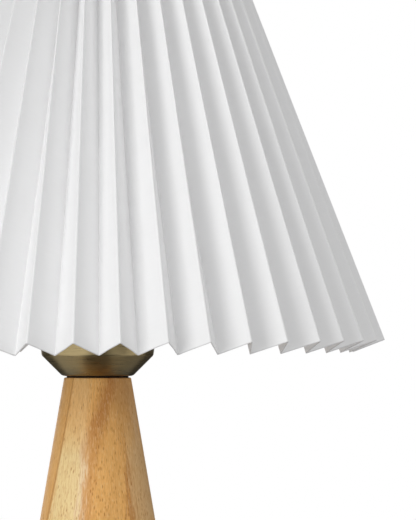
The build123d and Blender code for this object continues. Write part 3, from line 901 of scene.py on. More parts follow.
# ---- geometry trees ----------------------------------------------------------------------------
class GeometryTrees:
    """Geometry node trees for what repeats or follows a rule, each built once."""

    def __init__(self) -> None:
        """Builds the trees."""
        self.pleats = self._pleats()
        self.relief = self._relief()
        self.bent_wires = self._bent_wires()
        self.beads = self._beads()
        self.twisted_ring = self._twisted_ring()

    @staticmethod
    def close_tree(writer: TreeWriter, geometry: Value, material: Value, made: Any) -> None:
        """Ends a tree in Realize Instances and Set Material.

        Args:
            writer: Writes the tree's nodes.
            geometry: The finished geometry.
            material: Its material.
            made: The tree's output sockets.
        """
        plain = writer.add("GeometryNodeRealizeInstances", {"Geometry": geometry}).outputs[0]
        values = {"Geometry": plain, "Material": material}
        writer.feed(made["Geometry"], writer.add("GeometryNodeSetMaterial", values).outputs[0])

    @classmethod
    def _pleats(cls) -> bpy.types.NodeTree:
        """Strip of paper through fold lines, which are the edges of the mesh that goes in.

        Fold k runs from point 2k at the lower edge to point 2k + 1 at the upper edge.

        Returns:
            The tree.
        """
        writer, given, made = open_group(
            "pleats_through_folds",
            "GeometryNodeTree",
            {
                "Fold lines": (GEOMETRY, None),
                "Folds": (WHOLE, 80),
                "Lap panels": (FLOAT, 1.0),
                "Columns": (WHOLE, 1134),
                "Rows": (WHOLE, 24),
                "Gathering": (FLOAT, 0.85),
                "Ridge round": (FLOAT, 0.028),
                "Valley round": (FLOAT, 0.055),
                "Lap gap": (FLOAT, 0.0005),
                "Waviness": (FLOAT, 0.0004),
                "Seed": (FLOAT, 3.0),
                "Panel width": (FLOAT, 0.02),
                "Fold length": (FLOAT, 0.24),
                "Material": (MATERIAL, None),
            },
            {"Geometry": GEOMETRY},
        )
        folds, panels = given["Folds"], writer.plus(given["Folds"], given["Lap panels"])
        grid = writer.add(
            "GeometryNodeMeshGrid",
            {
                "Size X": 1.0,
                "Size Y": 1.0,
                "Vertices X": writer.plus(given["Columns"], 1.0),
                "Vertices Y": writer.plus(given["Rows"], 1.0),
            },
        )
        across, up, _ = writer.split(writer.add("GeometryNodeInputPosition").outputs[0])
        even = writer.times(writer.plus(across, 0.5), panels)
        rise = writer.plus(up, 0.5)
        pull = writer.over(writer.math("SINE", writer.times(even, math.tau)), math.tau)
        strip = writer.minus(even, writer.times(pull, given["Gathering"]))
        fold = writer.math("FLOOR", writer.plus(strip, 0.5))
        side = writer.minus(strip, fold)
        past = writer.math("GREATER_THAN", side, 0.0)
        sign = writer.minus(writer.times(past, 2.0), 1.0)
        away = writer.math("ABSOLUTE", side)

        def on_fold(number: Value) -> bpy.types.NodeSocket:
            """Point of a fold at this row's height.

            Args:
                number: The fold's number on the strip.

            Returns:
                The point.
            """
            index = writer.times(writer.math("FLOORED_MODULO", number, folds), 2.0)
            ends = []
            for shift in (0.25, 1.25):
                sample = writer.add(
                    "GeometryNodeSampleIndex", data_type="FLOAT_VECTOR", domain="POINT"
                )
                writer.feed(sample.inputs["Geometry"], given["Fold lines"])
                writer.feed(sample.inputs["Value"], writer.add("GeometryNodeInputPosition").outputs[0])
                writer.feed(sample.inputs["Index"], writer.plus(index, shift))
                ends.append(sample.outputs[0])
            return writer.between(rise, *ends)

        here = on_fold(fold)
        ahead = writer.vector("SUBTRACT", on_fold(writer.plus(fold, sign)), here)
        behind = writer.vector("SUBTRACT", on_fold(writer.minus(fold, sign)), here)
        odd = writer.math("FLOORED_MODULO", fold, 2.0)
        soft = writer.blend(odd, given["Valley round"], given["Ridge round"])
        share = writer.over(writer.plus(away, soft), writer.times(soft, 2.0))
        share = writer.math("MINIMUM", share, 1.0)
        rest = writer.minus(1.0, share)
        bend_ahead = writer.times(writer.times(share, share), soft)
        bend_behind = writer.times(writer.times(rest, rest), soft)
        flat = writer.math("GREATER_THAN", away, soft)
        ahead_share = writer.blend(flat, bend_ahead, away)
        behind_share = writer.blend(flat, bend_behind, 0.0)
        point = writer.vector("ADD", here, writer.scaled(ahead, ahead_share))
        point = writer.vector("ADD", point, writer.scaled(behind, behind_share))

        spot = writer.joined(strip, writer.times(rise, 3.0), given["Seed"])
        ripple = writer.minus(writer.noise(spot, 0.9, 1.0), 0.5)
        belly = writer.times(writer.math("SINE", writer.times(away, math.pi)), ripple)
        ripple = writer.times(belly, writer.times(given["Waviness"], 4.0))
        x, y, _ = writer.split(point)
        tangent = writer.vector("NORMALIZE", writer.joined(writer.times(y, -1.0), x))
        lapped = writer.span(strip, folds, writer.plus(folds, 0.3))
        lap = writer.times(lapped, given["Lap gap"])
        point = writer.vector("ADD", point, writer.scaled(tangent, writer.plus(ripple, lap)))

        # The map is stored on the flat strip, before its points move.
        stored = writer.add("GeometryNodeStoreNamedAttribute", data_type="FLOAT2", domain="CORNER")
        writer.feed(stored.inputs["Geometry"], grid.outputs["Mesh"])
        stored.inputs["Name"].default_value = PaperFinish.uv_map
        along = writer.times(strip, given["Panel width"])
        height = writer.times(rise, given["Fold length"])
        writer.feed(stored.inputs["Value"], writer.joined(along, height))
        values = {"Geometry": stored.outputs[0], "Position": point}
        moved = writer.add("GeometryNodeSetPosition", values).outputs[0]
        cls.close_tree(writer, moved, given["Material"], made)
        return writer.tree

    @classmethod
    def _relief(cls) -> bpy.types.NodeTree:
        """Threads or upright ribs cut into the wall of a turned blank.

        Returns:
            The tree.
        """
        writer, given, made = open_group(
            "relief_round_axis",
            "GeometryNodeTree",
            {
                "Blank": (GEOMETRY, None),
                "Ribs": (FLOAT, 1.0),
                "Turns per metre": (FLOAT, 400.0),
                "Depth": (FLOAT, 0.0005),
                "From height": (FLOAT, 0.0),
                "To height": (FLOAT, 1.0),
                "From radius": (FLOAT, 0.0),
                "To radius": (FLOAT, 1.0),
                "Run-out": (FLOAT, 0.001),
                "Flats": (FLOAT, 1.0),
                "Material": (MATERIAL, None),
            },
            {"Geometry": GEOMETRY},
        )
        place = writer.add("GeometryNodeInputPosition").outputs[0]
        x, y, z = writer.split(place)
        level = writer.joined(x, y, 0.0)
        radius = writer.add("ShaderNodeVectorMath", {0: level}, operation="LENGTH").outputs["Value"]
        turn = writer.over(writer.math("ARCTAN2", y, x), math.tau)
        phase = writer.minus(writer.times(turn, given["Ribs"]), writer.times(z, given["Turns per metre"]))
        swing = writer.math("COSINE", writer.times(phase, math.tau))
        wave = writer.math("MULTIPLY_ADD", writer.times(swing, given["Flats"]), -0.5, 0.5)
        wave = writer.math("MINIMUM", writer.math("MAXIMUM", wave, 0.0), 1.0)
        low_end = writer.plus(given["From height"], given["Run-out"])
        high_end = writer.minus(given["To height"], given["Run-out"])
        above = writer.span(z, given["From height"], low_end)
        below = writer.span(z, given["To height"], high_end)
        outer = writer.math("GREATER_THAN", radius, given["From radius"])
        inner = writer.math("LESS_THAN", radius, given["To radius"])
        between_levels = writer.times(above, below)
        mask = writer.times(between_levels, writer.times(outer, inner))
        depth = writer.times(writer.times(wave, mask), given["Depth"])
        inwards = writer.scaled(writer.vector("NORMALIZE", level), writer.times(depth, -1.0))
        values = {"Geometry": given["Blank"], "Offset": inwards}
        moved = writer.add("GeometryNodeSetPosition", values).outputs[0]
        cls.close_tree(writer, moved, given["Material"], made)
        return writer.tree

    @classmethod
    def _bent_wires(cls) -> bpy.types.NodeTree:
        """Round wires bent along a path, repeated about the lamp's axis.

        Returns:
            The tree.
        """
        writer, given, made = open_group(
            "bent_wires",
            "GeometryNodeTree",
            {
                "Path": (GEOMETRY, None),
                "Count": (WHOLE, 3),
                "First angle": (FLOAT, 0.0),
                "Wire radius": (FLOAT, 0.001),
                "Bend radius": (FLOAT, 0.006),
                "Material": (MATERIAL, None),
            },
            {"Geometry": GEOMETRY},
        )
        curve = writer.add("GeometryNodeMeshToCurve", {"Mesh": given["Path"]}).outputs[0]
        fillet = writer.add("GeometryNodeFilletCurve", {"Curve": curve}, mode="POLY")
        fillet.inputs["Count"].default_value = 10
        writer.feed(fillet.inputs["Radius"], given["Bend radius"])
        round_section = writer.add(
            "GeometryNodeCurvePrimitiveCircle", {"Resolution": 20, "Radius": given["Wire radius"]}
        ).outputs[0]
        wire = writer.add(
            "GeometryNodeCurveToMesh",
            {"Curve": fillet.outputs[0], "Profile Curve": round_section, "Fill Caps": True},
        ).outputs[0]
        repeated = cls.round_axis(writer, given, wire)
        cls.close_tree(writer, repeated, given["Material"], made)
        return writer.tree

    @staticmethod
    def round_axis(writer: TreeWriter, given: Any, piece: Value) -> bpy.types.NodeSocket:
        """Repeats a piece about the lamp's axis, Count times from First angle.

        Args:
            writer: Writes the tree's nodes.
            given: The tree's inputs.
            piece: The piece.

        Returns:
            The instances.
        """
        points = writer.add("GeometryNodeMeshLine", {"Count": given["Count"], "Offset": (0.0, 0.0, 0.0)})
        index = writer.add("GeometryNodeInputIndex").outputs[0]
        step = writer.over(math.tau, given["Count"])
        angle = writer.plus(writer.times(index, step), given["First angle"])
        values = {"Points": points.outputs[0], "Instance": piece, "Rotation": writer.joined(0.0, 0.0, angle)}
        return writer.add("GeometryNodeInstanceOnPoints", values).outputs[0]

    @classmethod
    def _beads(cls) -> bpy.types.NodeTree:
        """Small weld beads on a circle about the lamp's axis, each a little uneven.

        Returns:
            The tree.
        """
        writer, given, made = open_group(
            "weld_beads",
            "GeometryNodeTree",
            {
                "Carrier": (GEOMETRY, None),
                "Count": (WHOLE, 3),
                "First angle": (FLOAT, 0.0),
                "Radius": (FLOAT, 0.03),
                "Height": (FLOAT, 0.25),
                "Size": (VECTOR, (0.002, 0.0015, 0.001)),
                "Unevenness": (FLOAT, 0.15),
                "Seed": (FLOAT, 5.0),
                "Material": (MATERIAL, None),
            },
            {"Geometry": GEOMETRY},
        )
        ball = writer.add("GeometryNodeMeshIcoSphere", {"Radius": 1.0, "Subdivisions": 3}).outputs[0]
        place = writer.add("GeometryNodeInputPosition").outputs[0]
        lumps = writer.noise(writer.vector("ADD", place, writer.joined(given["Seed"])), 1.4, 2.0)
        swell = writer.math("MULTIPLY_ADD", writer.minus(lumps, 0.5), given["Unevenness"], 1.0)
        shaped = writer.vector("MULTIPLY", writer.scaled(place, swell), given["Size"])
        shaped = writer.vector("ADD", shaped, writer.joined(given["Radius"], 0.0, given["Height"]))
        bead = writer.add("GeometryNodeSetPosition", {"Geometry": ball, "Position": shaped}).outputs[0]
        joined = writer.add("GeometryNodeJoinGeometry")
        writer.feed(joined.inputs[0], cls.round_axis(writer, given, bead))
        writer.feed(joined.inputs[0], given["Carrier"])
        cls.close_tree(writer, joined.outputs[0], given["Material"], made)
        return writer.tree

    @classmethod
    def _twisted_ring(cls) -> bpy.types.NodeTree:
        """Ring of thread of two strands twisted round each other.

        Returns:
            The tree.
        """
        writer, given, made = open_group(
            "twisted_ring",
            "GeometryNodeTree",
            {
                "Start": (GEOMETRY, None),
                "Ring radius": (FLOAT, 0.05),
                "Height": (FLOAT, 0.4),
                "Strand radius": (FLOAT, 0.0003),
                "Lay": (FLOAT, 0.0002),
                "Twists": (FLOAT, 90.0),
                "Material": (MATERIAL, None),
            },
            {"Geometry": GEOMETRY},
        )
        ring = writer.add(
            "GeometryNodeCurvePrimitiveCircle", {"Resolution": 900, "Radius": given["Ring radius"]}
        ).outputs[0]
        place = writer.add("GeometryNodeInputPosition").outputs[0]
        x, y, _ = writer.split(place)
        outwards = writer.vector("NORMALIZE", place)
        turn = writer.times(writer.math("ARCTAN2", y, x), given["Twists"])
        joined = writer.add("GeometryNodeJoinGeometry")
        for strand in range(2):
            phase = writer.plus(turn, math.pi * strand)
            out = writer.scaled(outwards, writer.times(writer.math("COSINE", phase), given["Lay"]))
            lift = writer.times(writer.math("SINE", phase), given["Lay"])
            rise = writer.joined(0.0, 0.0, writer.plus(lift, given["Height"]))
            shift = writer.vector("ADD", out, rise)
            moved = writer.add("GeometryNodeSetPosition", {"Geometry": ring, "Offset": shift}).outputs[0]
            section = writer.add(
                "GeometryNodeCurvePrimitiveCircle", {"Resolution": 6, "Radius": given["Strand radius"]}
            ).outputs[0]
            strand_mesh = writer.add(
                "GeometryNodeCurveToMesh", {"Curve": moved, "Profile Curve": section}
            ).outputs[0]
            writer.feed(joined.inputs[0], strand_mesh)
        cls.close_tree(writer, joined.outputs[0], given["Material"], made)
        return writer.tree


class Workshop:
    """Holds the frame, finishes and trees, and puts finished pieces in the frame."""

    def __init__(self, frame: Mapping[str, Any]) -> None:
        """Makes the finishes and the trees.
        """
        self.frame = frame
        self.finishes = Finishes(SharedEffects())
        self.trees = GeometryTrees()

    def material(self, finish: str) -> bpy.types.Material:
        """Looks up a material."""
        return self.finishes.by_name[finish]

    def place(self, piece: bpy.types.Object, body: Body, finish: str, *replaced: str) -> bpy.types.Object:
        """Gives a piece its finish and its body, and hides the nodes that it stands for.

        Args:
            piece: The finished object.
            body: The body that it moves with.
            finish: Name of its material and of its material slot.
            *replaced: CAD nodes that it stands for.

        Returns:
            The same object.
        """
        piece.data.materials.clear()
        piece.data.materials.append(self.material(finish))
        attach(piece, body.value)
        if replaced:
            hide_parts(*replaced)
        LOG.info("%s: %d faces on %s", piece.name, len(piece.data.polygons), body.value)
        return piece

    def repaint(self, finish: str, *nodes: str) -> None:
        """Gives CAD nodes that stay a better material.

        Args:
            finish: Name of the material.
            *nodes: CAD nodes.
        """
        for node in nodes:
            piece = self.frame["nodes"][node]
            for slot in piece.material_slots:
                slot.material = self.material(finish)
            LOG.info("%s: kept with %s", node, finish)

    def relief(self, piece: bpy.types.Object, finish: str, values: Mapping[str, float]) -> None:
        """Cuts a thread or ribs into a turned piece.

        Args:
            piece: The turned blank.
            finish: Name of its material.
            values: Inputs of the relief tree.
        """
        run_tree(piece, self.trees.relief, {**values, "Material": self.material(finish)})
        smooth(piece, 50.0)


# ---- sub-assemblies ----------------------------------------------------------------------------
@dataclass
class Foot:
    """Turned wooden foot with its felt, black neck ring and cord bush."""

    slope: float = 0.170
    bore_radius: float = 5.5 * MM
    top_round: float = 0.8 * MM
    shoulder: float = 2.3 * MM
    ring_reach: float = 1.0 * MM
    bottom_round: float = 1.5 * MM
    inlet_height: float = 11 * MM
    inlet_bore: float = 3.6 * MM
    inlet_gap: float = 0.15 * MM
    bush_sleeve: float = 5 * MM
    bush_flange: float = 2 * MM
    drill_start: float = 8 * MM
    drill_ends: Point2 = (5 * MM, 9 * MM)
    segments: int = 160

    def build(self, shop: Workshop) -> None:
        """Builds the foot and what is fixed to it.

        Args:
            shop: The workshop.
        """
        shop.place(self.wooden_cone(), Body.LAMP, "foot_wood", "wooden_foot")
        shop.place(self.felt(), Body.LAMP, "felt", "felt_pad")
        shop.place(self.neck_ring(), Body.LAMP, "black_rubber", "neck_washer")
        shop.place(self.cord_bush(), Body.LAMP, "black_rubber", "cord_bush")
        shop.repaint("fibreboard", "base_board")
        shop.repaint("cast_iron", "iron_weight")
        shop.repaint("zinc_steel", "bottom_washer", "bottom_nut", "threaded_tube", "lock_washer",
                     "cup_nut", "cap_grub_screw")

    def wooden_cone(self) -> bpy.types.Object:
        """Cone with its bore, weight recess and inlet.

        Returns:
            The foot.
        """
        foot, board, weight = Extent.of("wooden_foot"), Extent.of("base_board"), Extent.of("iron_weight")
        top_r = Extent.of("neck_washer").radius + self.shoulder
        bottom_r = top_r + self.slope * (foot.top - foot.bottom)
        recess_r = weight.radius + self.inlet_gap
        ledge_r = board.radius + self.inlet_gap
        outline = round_corners(
            (
                (self.bore_radius, weight.top),
                (recess_r, weight.top),
                (recess_r, board.top),
                (ledge_r, board.top),
                (ledge_r, foot.bottom),
                (bottom_r, foot.bottom),
                (top_r, foot.top),
                (self.bore_radius, foot.top),
            ),
            {5: self.bottom_round, 6: self.top_round},
        )
        piece = smooth_piece("turned_foot", turned(outline, self.segments))
        low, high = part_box("cord_bush")
        sleeve_end, flange_end = (high.y + more for more in self.drill_ends)
        drills = (
            (recess_r - self.drill_start, sleeve_end, self.bush_sleeve + self.inlet_gap),
            (high.y - self.bush_flange, flange_end, (high.x - low.x) / 2 + self.inlet_gap),
        )
        level = self.inlet_height
        cut_holes(piece, [((0, start, level), (0, end, level), radius) for start, end, radius in drills])
        return piece

    @staticmethod
    def felt() -> bpy.types.Object:
        """Felt disc with soft rims."""
        pad = Extent.of("felt_pad")
        return smooth_piece("felt_disc", turned(disc_outline(pad.radius, pad.bottom, pad.top, 0.6 * MM)))

    def neck_ring(self) -> bpy.types.Object:
        """Black ring between the wood and the cup.

        Returns:
            The ring.
        """
        ring = Extent.of("neck_washer")
        outer = ring.radius + self.ring_reach
        outline = washer_outline(self.bore_radius, outer, ring.bottom, ring.top, 0.3 * MM)
        return smooth_piece("neck_ring", turned(outline))

    def cord_bush(self) -> bpy.types.Object:
        """Flanged bush with a rounded mouth.

        Returns:
            The bush.
        """
        low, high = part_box("cord_bush")
        flange, sleeve_r, flange_r = self.bush_flange, self.bush_sleeve, (high.x - low.x) / 2
        corners = (
            (self.inlet_bore, low.y),
            (sleeve_r, low.y),
            (sleeve_r, high.y - flange),
            (flange_r, high.y - flange),
            (flange_r, high.y),
            (self.inlet_bore, high.y),
        )
        outline = round_corners(corners, {1: 0.8 * MM, 4: 1.2 * MM, 5: 0.5 * MM})
        mesh = turned(outline, 64)
        mesh.transform(Matrix.Translation((0, 0, self.inlet_height)) @ Matrix.Rotation(-math.pi / 2, 4, "X"))
        return smooth_piece("inlet_bush", mesh)


@dataclass
class Cup:
    """Spun brass cup: flat bottom, 45 degree cone and a nearly upright lip."""

    wall: float = 1.2 * MM
    corner_radius: float = 18.4 * MM
    break_radius: float = 29.2 * MM
    lip_reach: float = 0.3 * MM
    bottom_round: float = 3.5 * MM
    break_round: float = 2 * MM
    hole_radius: float = 5.15 * MM
    segments: int = 192

    def build(self, shop: Workshop) -> None:
        """Builds the cup.

        Args:
            shop: The workshop.
        """
        cup = Extent.of("brass_cup")
        rise = self.break_radius - self.corner_radius
        inset = self.wall * (math.sqrt(2) - 1)
        lip = cup.radius + self.lip_reach
        outline = round_corners(
            (
                (self.hole_radius, cup.bottom),
                (self.corner_radius, cup.bottom),
                (self.break_radius, cup.bottom + rise),
                (lip, cup.top),
                (lip - self.wall, cup.top),
                (self.break_radius - self.wall, cup.bottom + rise + inset * 0.86),
                (self.corner_radius - inset, cup.bottom + self.wall),
                (self.hole_radius, cup.bottom + self.wall),
            ),
            {
                1: self.bottom_round,
                2: self.break_round,
                3: 0.5 * MM,
                4: 0.5 * MM,
                5: self.break_round - self.wall / 2,
                6: self.bottom_round - self.wall,
            },
        )
        piece = smooth_piece("spun_cup", turned(outline, self.segments))
        shop.place(piece, Body.LAMP, "cup_brass", "brass_cup")


@dataclass
class Lampholder:
    """Black lampholder with its screw shell, shade rings and push bar."""

    sleeve_pitch: float = 2.5 * MM
    lamp_pitch: float = 3.629 * MM
    thread_depth: float = 0.55 * MM
    shell_depth: float = 0.25 * MM
    grip_ribs: int = 60
    segments: int = 180

    def build(self, shop: Workshop) -> None:
        """Builds the holder from the cap upwards.

        Args:
            shop: The workshop.
        """
        shop.place(self.cap(shop), Body.LAMP, "holder_black", "lampholder_cap")
        shop.place(self.sleeve(shop), Body.LAMP, "holder_black", "lampholder_sleeve")
        shop.place(self.shell(shop), Body.LAMP, "shell_metal", "screw_shell")
        shop.place(self.shade_ring(shop, "lower_shade_ring", True), Body.LAMP, "holder_black",
                   "lower_shade_ring")
        shop.place(self.shade_ring(shop, "upper_shade_ring", False), Body.SHADE_RING, "holder_black",
                   "upper_shade_ring")
        for node in ("push_button_left", "push_button_right"):
            shop.place(self.button(node), Body.SWITCH_BAR, "holder_black", node)
        shop.repaint("porcelain", "switch_block", "contact_block")
        shop.repaint("contact_brass", "switch_strips", "terminal_screws", "centre_contact", "push_bar",
                     "switch_bridge")

    def cap(self, shop: Workshop) -> bpy.types.Object:
        """Lower shell with grip ribs and a hole for the bar.

        Args:
            shop: The workshop.

        Returns:
            The cap.
        """
        cap, bar = Extent.of("lampholder_cap"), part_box("push_bar")
        wall, boss_r, boss_h, shoulder, floor = 2 * MM, 9 * MM, 5 * MM, 14 * MM, 7 * MM
        bore, inside = 5.1 * MM, cap.radius - wall
        corners = (
            (bore, cap.bottom),
            (boss_r, cap.bottom),
            (boss_r, cap.bottom + boss_h),
            (cap.radius, cap.bottom + shoulder),
            (cap.radius, cap.top),
            (inside, cap.top),
            (inside, cap.bottom + shoulder + wall / 4),
            (boss_r, cap.bottom + floor),
            (bore, cap.bottom + floor),
        )
        outline = round_corners(corners, {1: 0.6 * MM, 2: 1.0 * MM, 3: 2.0 * MM, 4: 0.5 * MM})
        side = max(range(len(outline)), key=lambda i: (round(outline[i][0], 7), -outline[i][1]))
        piece = smooth_piece("holder_cap", turned(divided(outline, side, 40), self.grip_ribs * 6))
        centre = (bar[0].z + bar[1].z) / 2
        bar_r = (bar[1].z - bar[0].z) / 2 + 0.08 * MM
        shop.relief(piece, "holder_black", {
            "Ribs": float(self.grip_ribs),
            "Turns per metre": 0.0,
            "Depth": 0.35 * MM,
            "From height": centre + bar_r + 2 * MM,
            "To height": cap.top - 1.2 * MM,
            "From radius": cap.radius - 0.2 * MM,
            "Flats": 1.6,
            "Run-out": 0.5 * MM,
        })
        reach = cap.radius + 3 * MM
        cut_holes(piece, [((-reach, 0, centre), (reach, 0, centre), bar_r)])
        return piece

    def sleeve(self, shop: Workshop) -> bpy.types.Object:
        """Upper shell with the outside thread of the shade rings.

        Args:
            shop: The workshop.

        Returns:
            The sleeve.
        """
        sleeve, cap = Extent.of("lampholder_sleeve"), Extent.of("lampholder_cap")
        inside = Extent.of("contact_block").radius + 0.3 * MM
        mouth, spigot, step = 14.25 * MM, cap.radius - 2.08 * MM, 1.475 * MM
        corners = (
            (inside, sleeve.bottom),
            (spigot, sleeve.bottom),
            (spigot, cap.top),
            (sleeve.radius, cap.top),
            (sleeve.radius, sleeve.top),
            (mouth, sleeve.top),
            (mouth, sleeve.top - step),
            (inside, sleeve.top - step),
        )
        piece = smooth_piece("holder_sleeve", turned(divided(corners, 3, 200), self.segments))
        shop.relief(piece, "holder_black", {
            "Turns per metre": 1 / self.sleeve_pitch,
            "Depth": self.thread_depth,
            "From height": cap.top + 2 * MM,
            "To height": sleeve.top + 0.4 * MM,
            "From radius": sleeve.radius - 0.1 * MM,
            "Flats": 1.5,
            "Run-out": 1.2 * MM,
        })
        return piece

    def shell(self, shop: Workshop) -> bpy.types.Object:
        """Metal shell, rolled with the bulb's thread on both of its faces.

        Args:
            shop: The workshop.

        Returns:
            The shell.
        """
        shell = Extent.of("screw_shell")
        inner, wall, flange = 13.35 * MM, 0.6 * MM, 0.8 * MM
        corners = (
            (inner, shell.bottom),
            (shell.radius, shell.bottom),
            (shell.radius, shell.bottom + flange),
            (inner + wall, shell.bottom + flange),
            (inner + wall, shell.top),
            (inner, shell.top),
        )
        outline = divided(divided(corners, 5, 70), 3, 70)
        piece = smooth_piece("threaded_shell", turned(outline, 128))
        shop.relief(piece, "shell_metal", {
            "Turns per metre": 1 / self.lamp_pitch,
            "Depth": -self.shell_depth,
            "From height": shell.bottom + flange + 0.2 * MM,
            "To height": shell.top - 0.3 * MM,
            "To radius": inner + wall + MM,
            "Run-out": 1.5 * MM,
        })
        return piece

    def shade_ring(self, shop: Workshop, node: str, collar_below: bool) -> bpy.types.Object:
        """Threaded ring with a collar and a flange with grip notches.

        Args:
            shop: The workshop.
            node: CAD node that it stands for.
            collar_below: True where the collar hangs below the flange.

        Returns:
            The ring.
        """
        ring = Extent.of(node)
        inner, band, flange = 19.83 * MM, 2.7 * MM, 1.5 * MM
        collar_r = inner + band
        if collar_below:
            low, high = ring.top - flange, ring.top
            corners = [(inner, ring.bottom), (collar_r, ring.bottom), (collar_r, low),
                       (ring.radius, low), (ring.radius, high), (inner, high)]
            rounding = {1: 0.5 * MM, 2: 0.3 * MM, 3: 0.6 * MM, 4: 0.6 * MM}
        else:
            low, high = ring.bottom, ring.bottom + flange
            corners = [(inner, low), (ring.radius, low), (ring.radius, high),
                       (collar_r, high), (collar_r, ring.top), (inner, ring.top)]
            rounding = {1: 0.6 * MM, 2: 0.6 * MM, 3: 0.3 * MM, 4: 0.5 * MM}
        mesh = turned(round_corners(corners, rounding, 5), self.grip_ribs * 6)
        piece = smooth_piece(node + "_notched", mesh)
        shop.relief(piece, "holder_black", {
            "Ribs": float(self.grip_ribs // 2),
            "Turns per metre": 0.0,
            "Depth": 0.5 * MM,
            "From height": ring.bottom - 0.1 * MM,
            "To height": ring.top + 0.1 * MM,
            "From radius": ring.radius - 0.7 * MM,
            "Flats": 1.4,
            "Run-out": 0.05 * MM,
        })
        return piece

    @staticmethod
    def button(node: str) -> bpy.types.Object:
        """Domed button on one end of the push bar.

        Args:
            node: The CAD node that it stands for.

        Returns:
            The button.
        """
        low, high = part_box(node)
        radius = (high.z - low.z) / 2
        length = high.x - low.x
        outwards = 1.0 if high.x > 0 else -1.0
        corners = ((0.0, 0.0), (radius, 0.0), (radius, length * 0.7), (radius * 0.55, length), (0.0, length))
        mesh = turned(round_corners(corners, {1: 0.3 * MM, 2: 0.7 * MM, 3: 1.0 * MM}), 64)
        turn = Matrix.Rotation(outwards * math.pi / 2, 4, "Y")
        start = low.x if outwards > 0 else high.x
        mesh.transform(Matrix.Translation((start, 0, (low.z + high.z) / 2)) @ turn)
        return smooth_piece(node + "_domed", mesh)


@dataclass
class Bulb:
    """Opal bulb with a rolled screw cap."""

    pitch: float = 3.629 * MM
    neck_radius: float = 14.2 * MM
    neck_height: float = 24 * MM
    split_height: float = 58 * MM
    wall: float = 1.3 * MM
    cap_wall: float = 0.5 * MM
    segments: int = 128

    def build(self, shop: Workshop) -> None:
        """Builds the bulb from the tip upwards.

        Args:
            shop: The workshop.
        """
        self.base = Extent.of("bulb_tip").bottom
        self.head = Extent.of("bulb_diffuser")
        shop.place(self.tip(), Body.BULB_CONTACT, "bulb_cap_metal", "bulb_tip")
        shop.place(self.screw_cap(shop), Body.BULB, "bulb_cap_metal", "bulb_screw_cap")
        shop.place(self.housing(), Body.BULB, "bulb_plastic", "bulb_housing")
        shop.place(self.diffuser(), Body.BULB, "bulb_opal", "bulb_diffuser")
        shop.repaint("bulb_black", "bulb_insulator")
        shop.repaint("led_board", "bulb_led_board")

    @staticmethod
    def tip() -> bpy.types.Object:
        """Flat solder contact with soft rims.

        Returns:
            The tip.
        """
        tip = Extent.of("bulb_tip")
        outline = disc_outline(tip.radius, tip.bottom, tip.top, 0.6 * MM)
        return smooth_piece("bulb_contact_tip", turned(outline, 48))

    def screw_cap(self, shop: Workshop) -> bpy.types.Object:
        """Thin cap, rolled with the lamp thread on both of its faces.

        Args:
            shop: The workshop.

        Returns:
            The cap.
        """
        cap = Extent.of("bulb_screw_cap")
        shoulder = cap.bottom + 2 * self.cap_wall
        inside = cap.radius - self.cap_wall
        corners = (
            (inside - 2 * self.cap_wall, cap.bottom),
            (cap.radius - 2 * self.cap_wall, cap.bottom),
            (cap.radius, shoulder),
            (cap.radius, cap.top),
            (inside, cap.top),
            (inside, shoulder),
        )
        outline = divided(divided(corners, 4, 80), 2, 80)
        piece = smooth_piece("rolled_screw_cap", turned(outline, self.segments))
        shop.relief(piece, "bulb_cap_metal", {
            "Turns per metre": 1 / self.pitch,
            "Depth": 0.6 * MM,
            "From height": shoulder,
            "To height": cap.top - 2 * MM,
            "From radius": inside - 0.1 * MM,
            "Run-out": 2 * MM,
        })
        return piece

    def tangent_point(self, wall: float) -> Point2:
        """Radius and height above the tip where the neck's side meets the round head.

        Args:
            wall: How far inwards of the outside, in metres.

        Returns:
            The point.
        """
        radius = self.head.radius - wall
        neck = self.neck_radius - wall
        centre = self.head.top - self.head.radius - self.base
        reach = math.hypot(neck, centre - self.neck_height)
        angle = math.atan2(self.neck_height - centre, neck) + math.acos(radius / reach)
        return radius * math.cos(angle), centre + radius * math.sin(angle)

    def side_radius(self, height: float, wall: float) -> float:
        """Radius of the sloping side at a height above the tip.

        Args:
            height: Height above the tip.
            wall: How far inwards of the outside, in metres.

        Returns:
            The radius.
        """
        radius, level = self.tangent_point(wall)
        neck = self.neck_radius - wall
        return neck + (height - self.neck_height) / (level - self.neck_height) * (radius - neck)

    def head_line(self, wall: float, steps: int = 28) -> List[Point2]:
        """Outline of the head from its rim to its top, moved inwards by a wall.

        Args:
            wall: How far inwards of the outside, in metres.
            steps: Number of straight pieces.

        Returns:
            Radius and height of each point.
        """
        radius = self.head.radius - wall
        start_r, start_z = self.tangent_point(wall)
        centre = self.head.top - self.head.radius - self.base
        first = math.atan2(start_z - centre, start_r)
        angles = [first + (math.pi / 2 - first) * step / steps for step in range(steps)]
        line = [(self.side_radius(self.split_height, wall), self.split_height)]
        line += [(radius * math.cos(a), centre + radius * math.sin(a)) for a in angles]
        return line + [(0.0, centre + radius)]

    def diffuser(self) -> bpy.types.Object:
        """Opal head, a thin dome.

        Returns:
            The head.
        """
        outside = self.head_line(0.0)
        inside = self.head_line(self.wall)
        outline = [(r, z + self.base) for r, z in [*reversed(outside), *inside]]
        return smooth_piece("opal_head", turned(outline, self.segments))

    def housing(self) -> bpy.types.Object:
        """Plastic body with a spigot in the screw cap.

        Returns:
            The body.
        """
        rim = self.side_radius(self.split_height, 0.0)
        spigot, start = 12.4 * MM, self.neck_height + self.wall - 9.2 * MM
        corners = (
            (0.0, start),
            (spigot, start),
            (spigot, self.neck_height),
            (self.neck_radius, self.neck_height),
            (rim, self.split_height),
            (rim - self.wall, self.split_height),
            (self.neck_radius - self.wall, self.neck_height + self.wall),
            (0.0, self.neck_height + self.wall),
        )
        outline = round_corners(corners, {3: 0.6 * MM, 4: 0.5 * MM})
        return smooth_piece("bulb_body", turned([(r, z + self.base) for r, z in outline], self.segments))


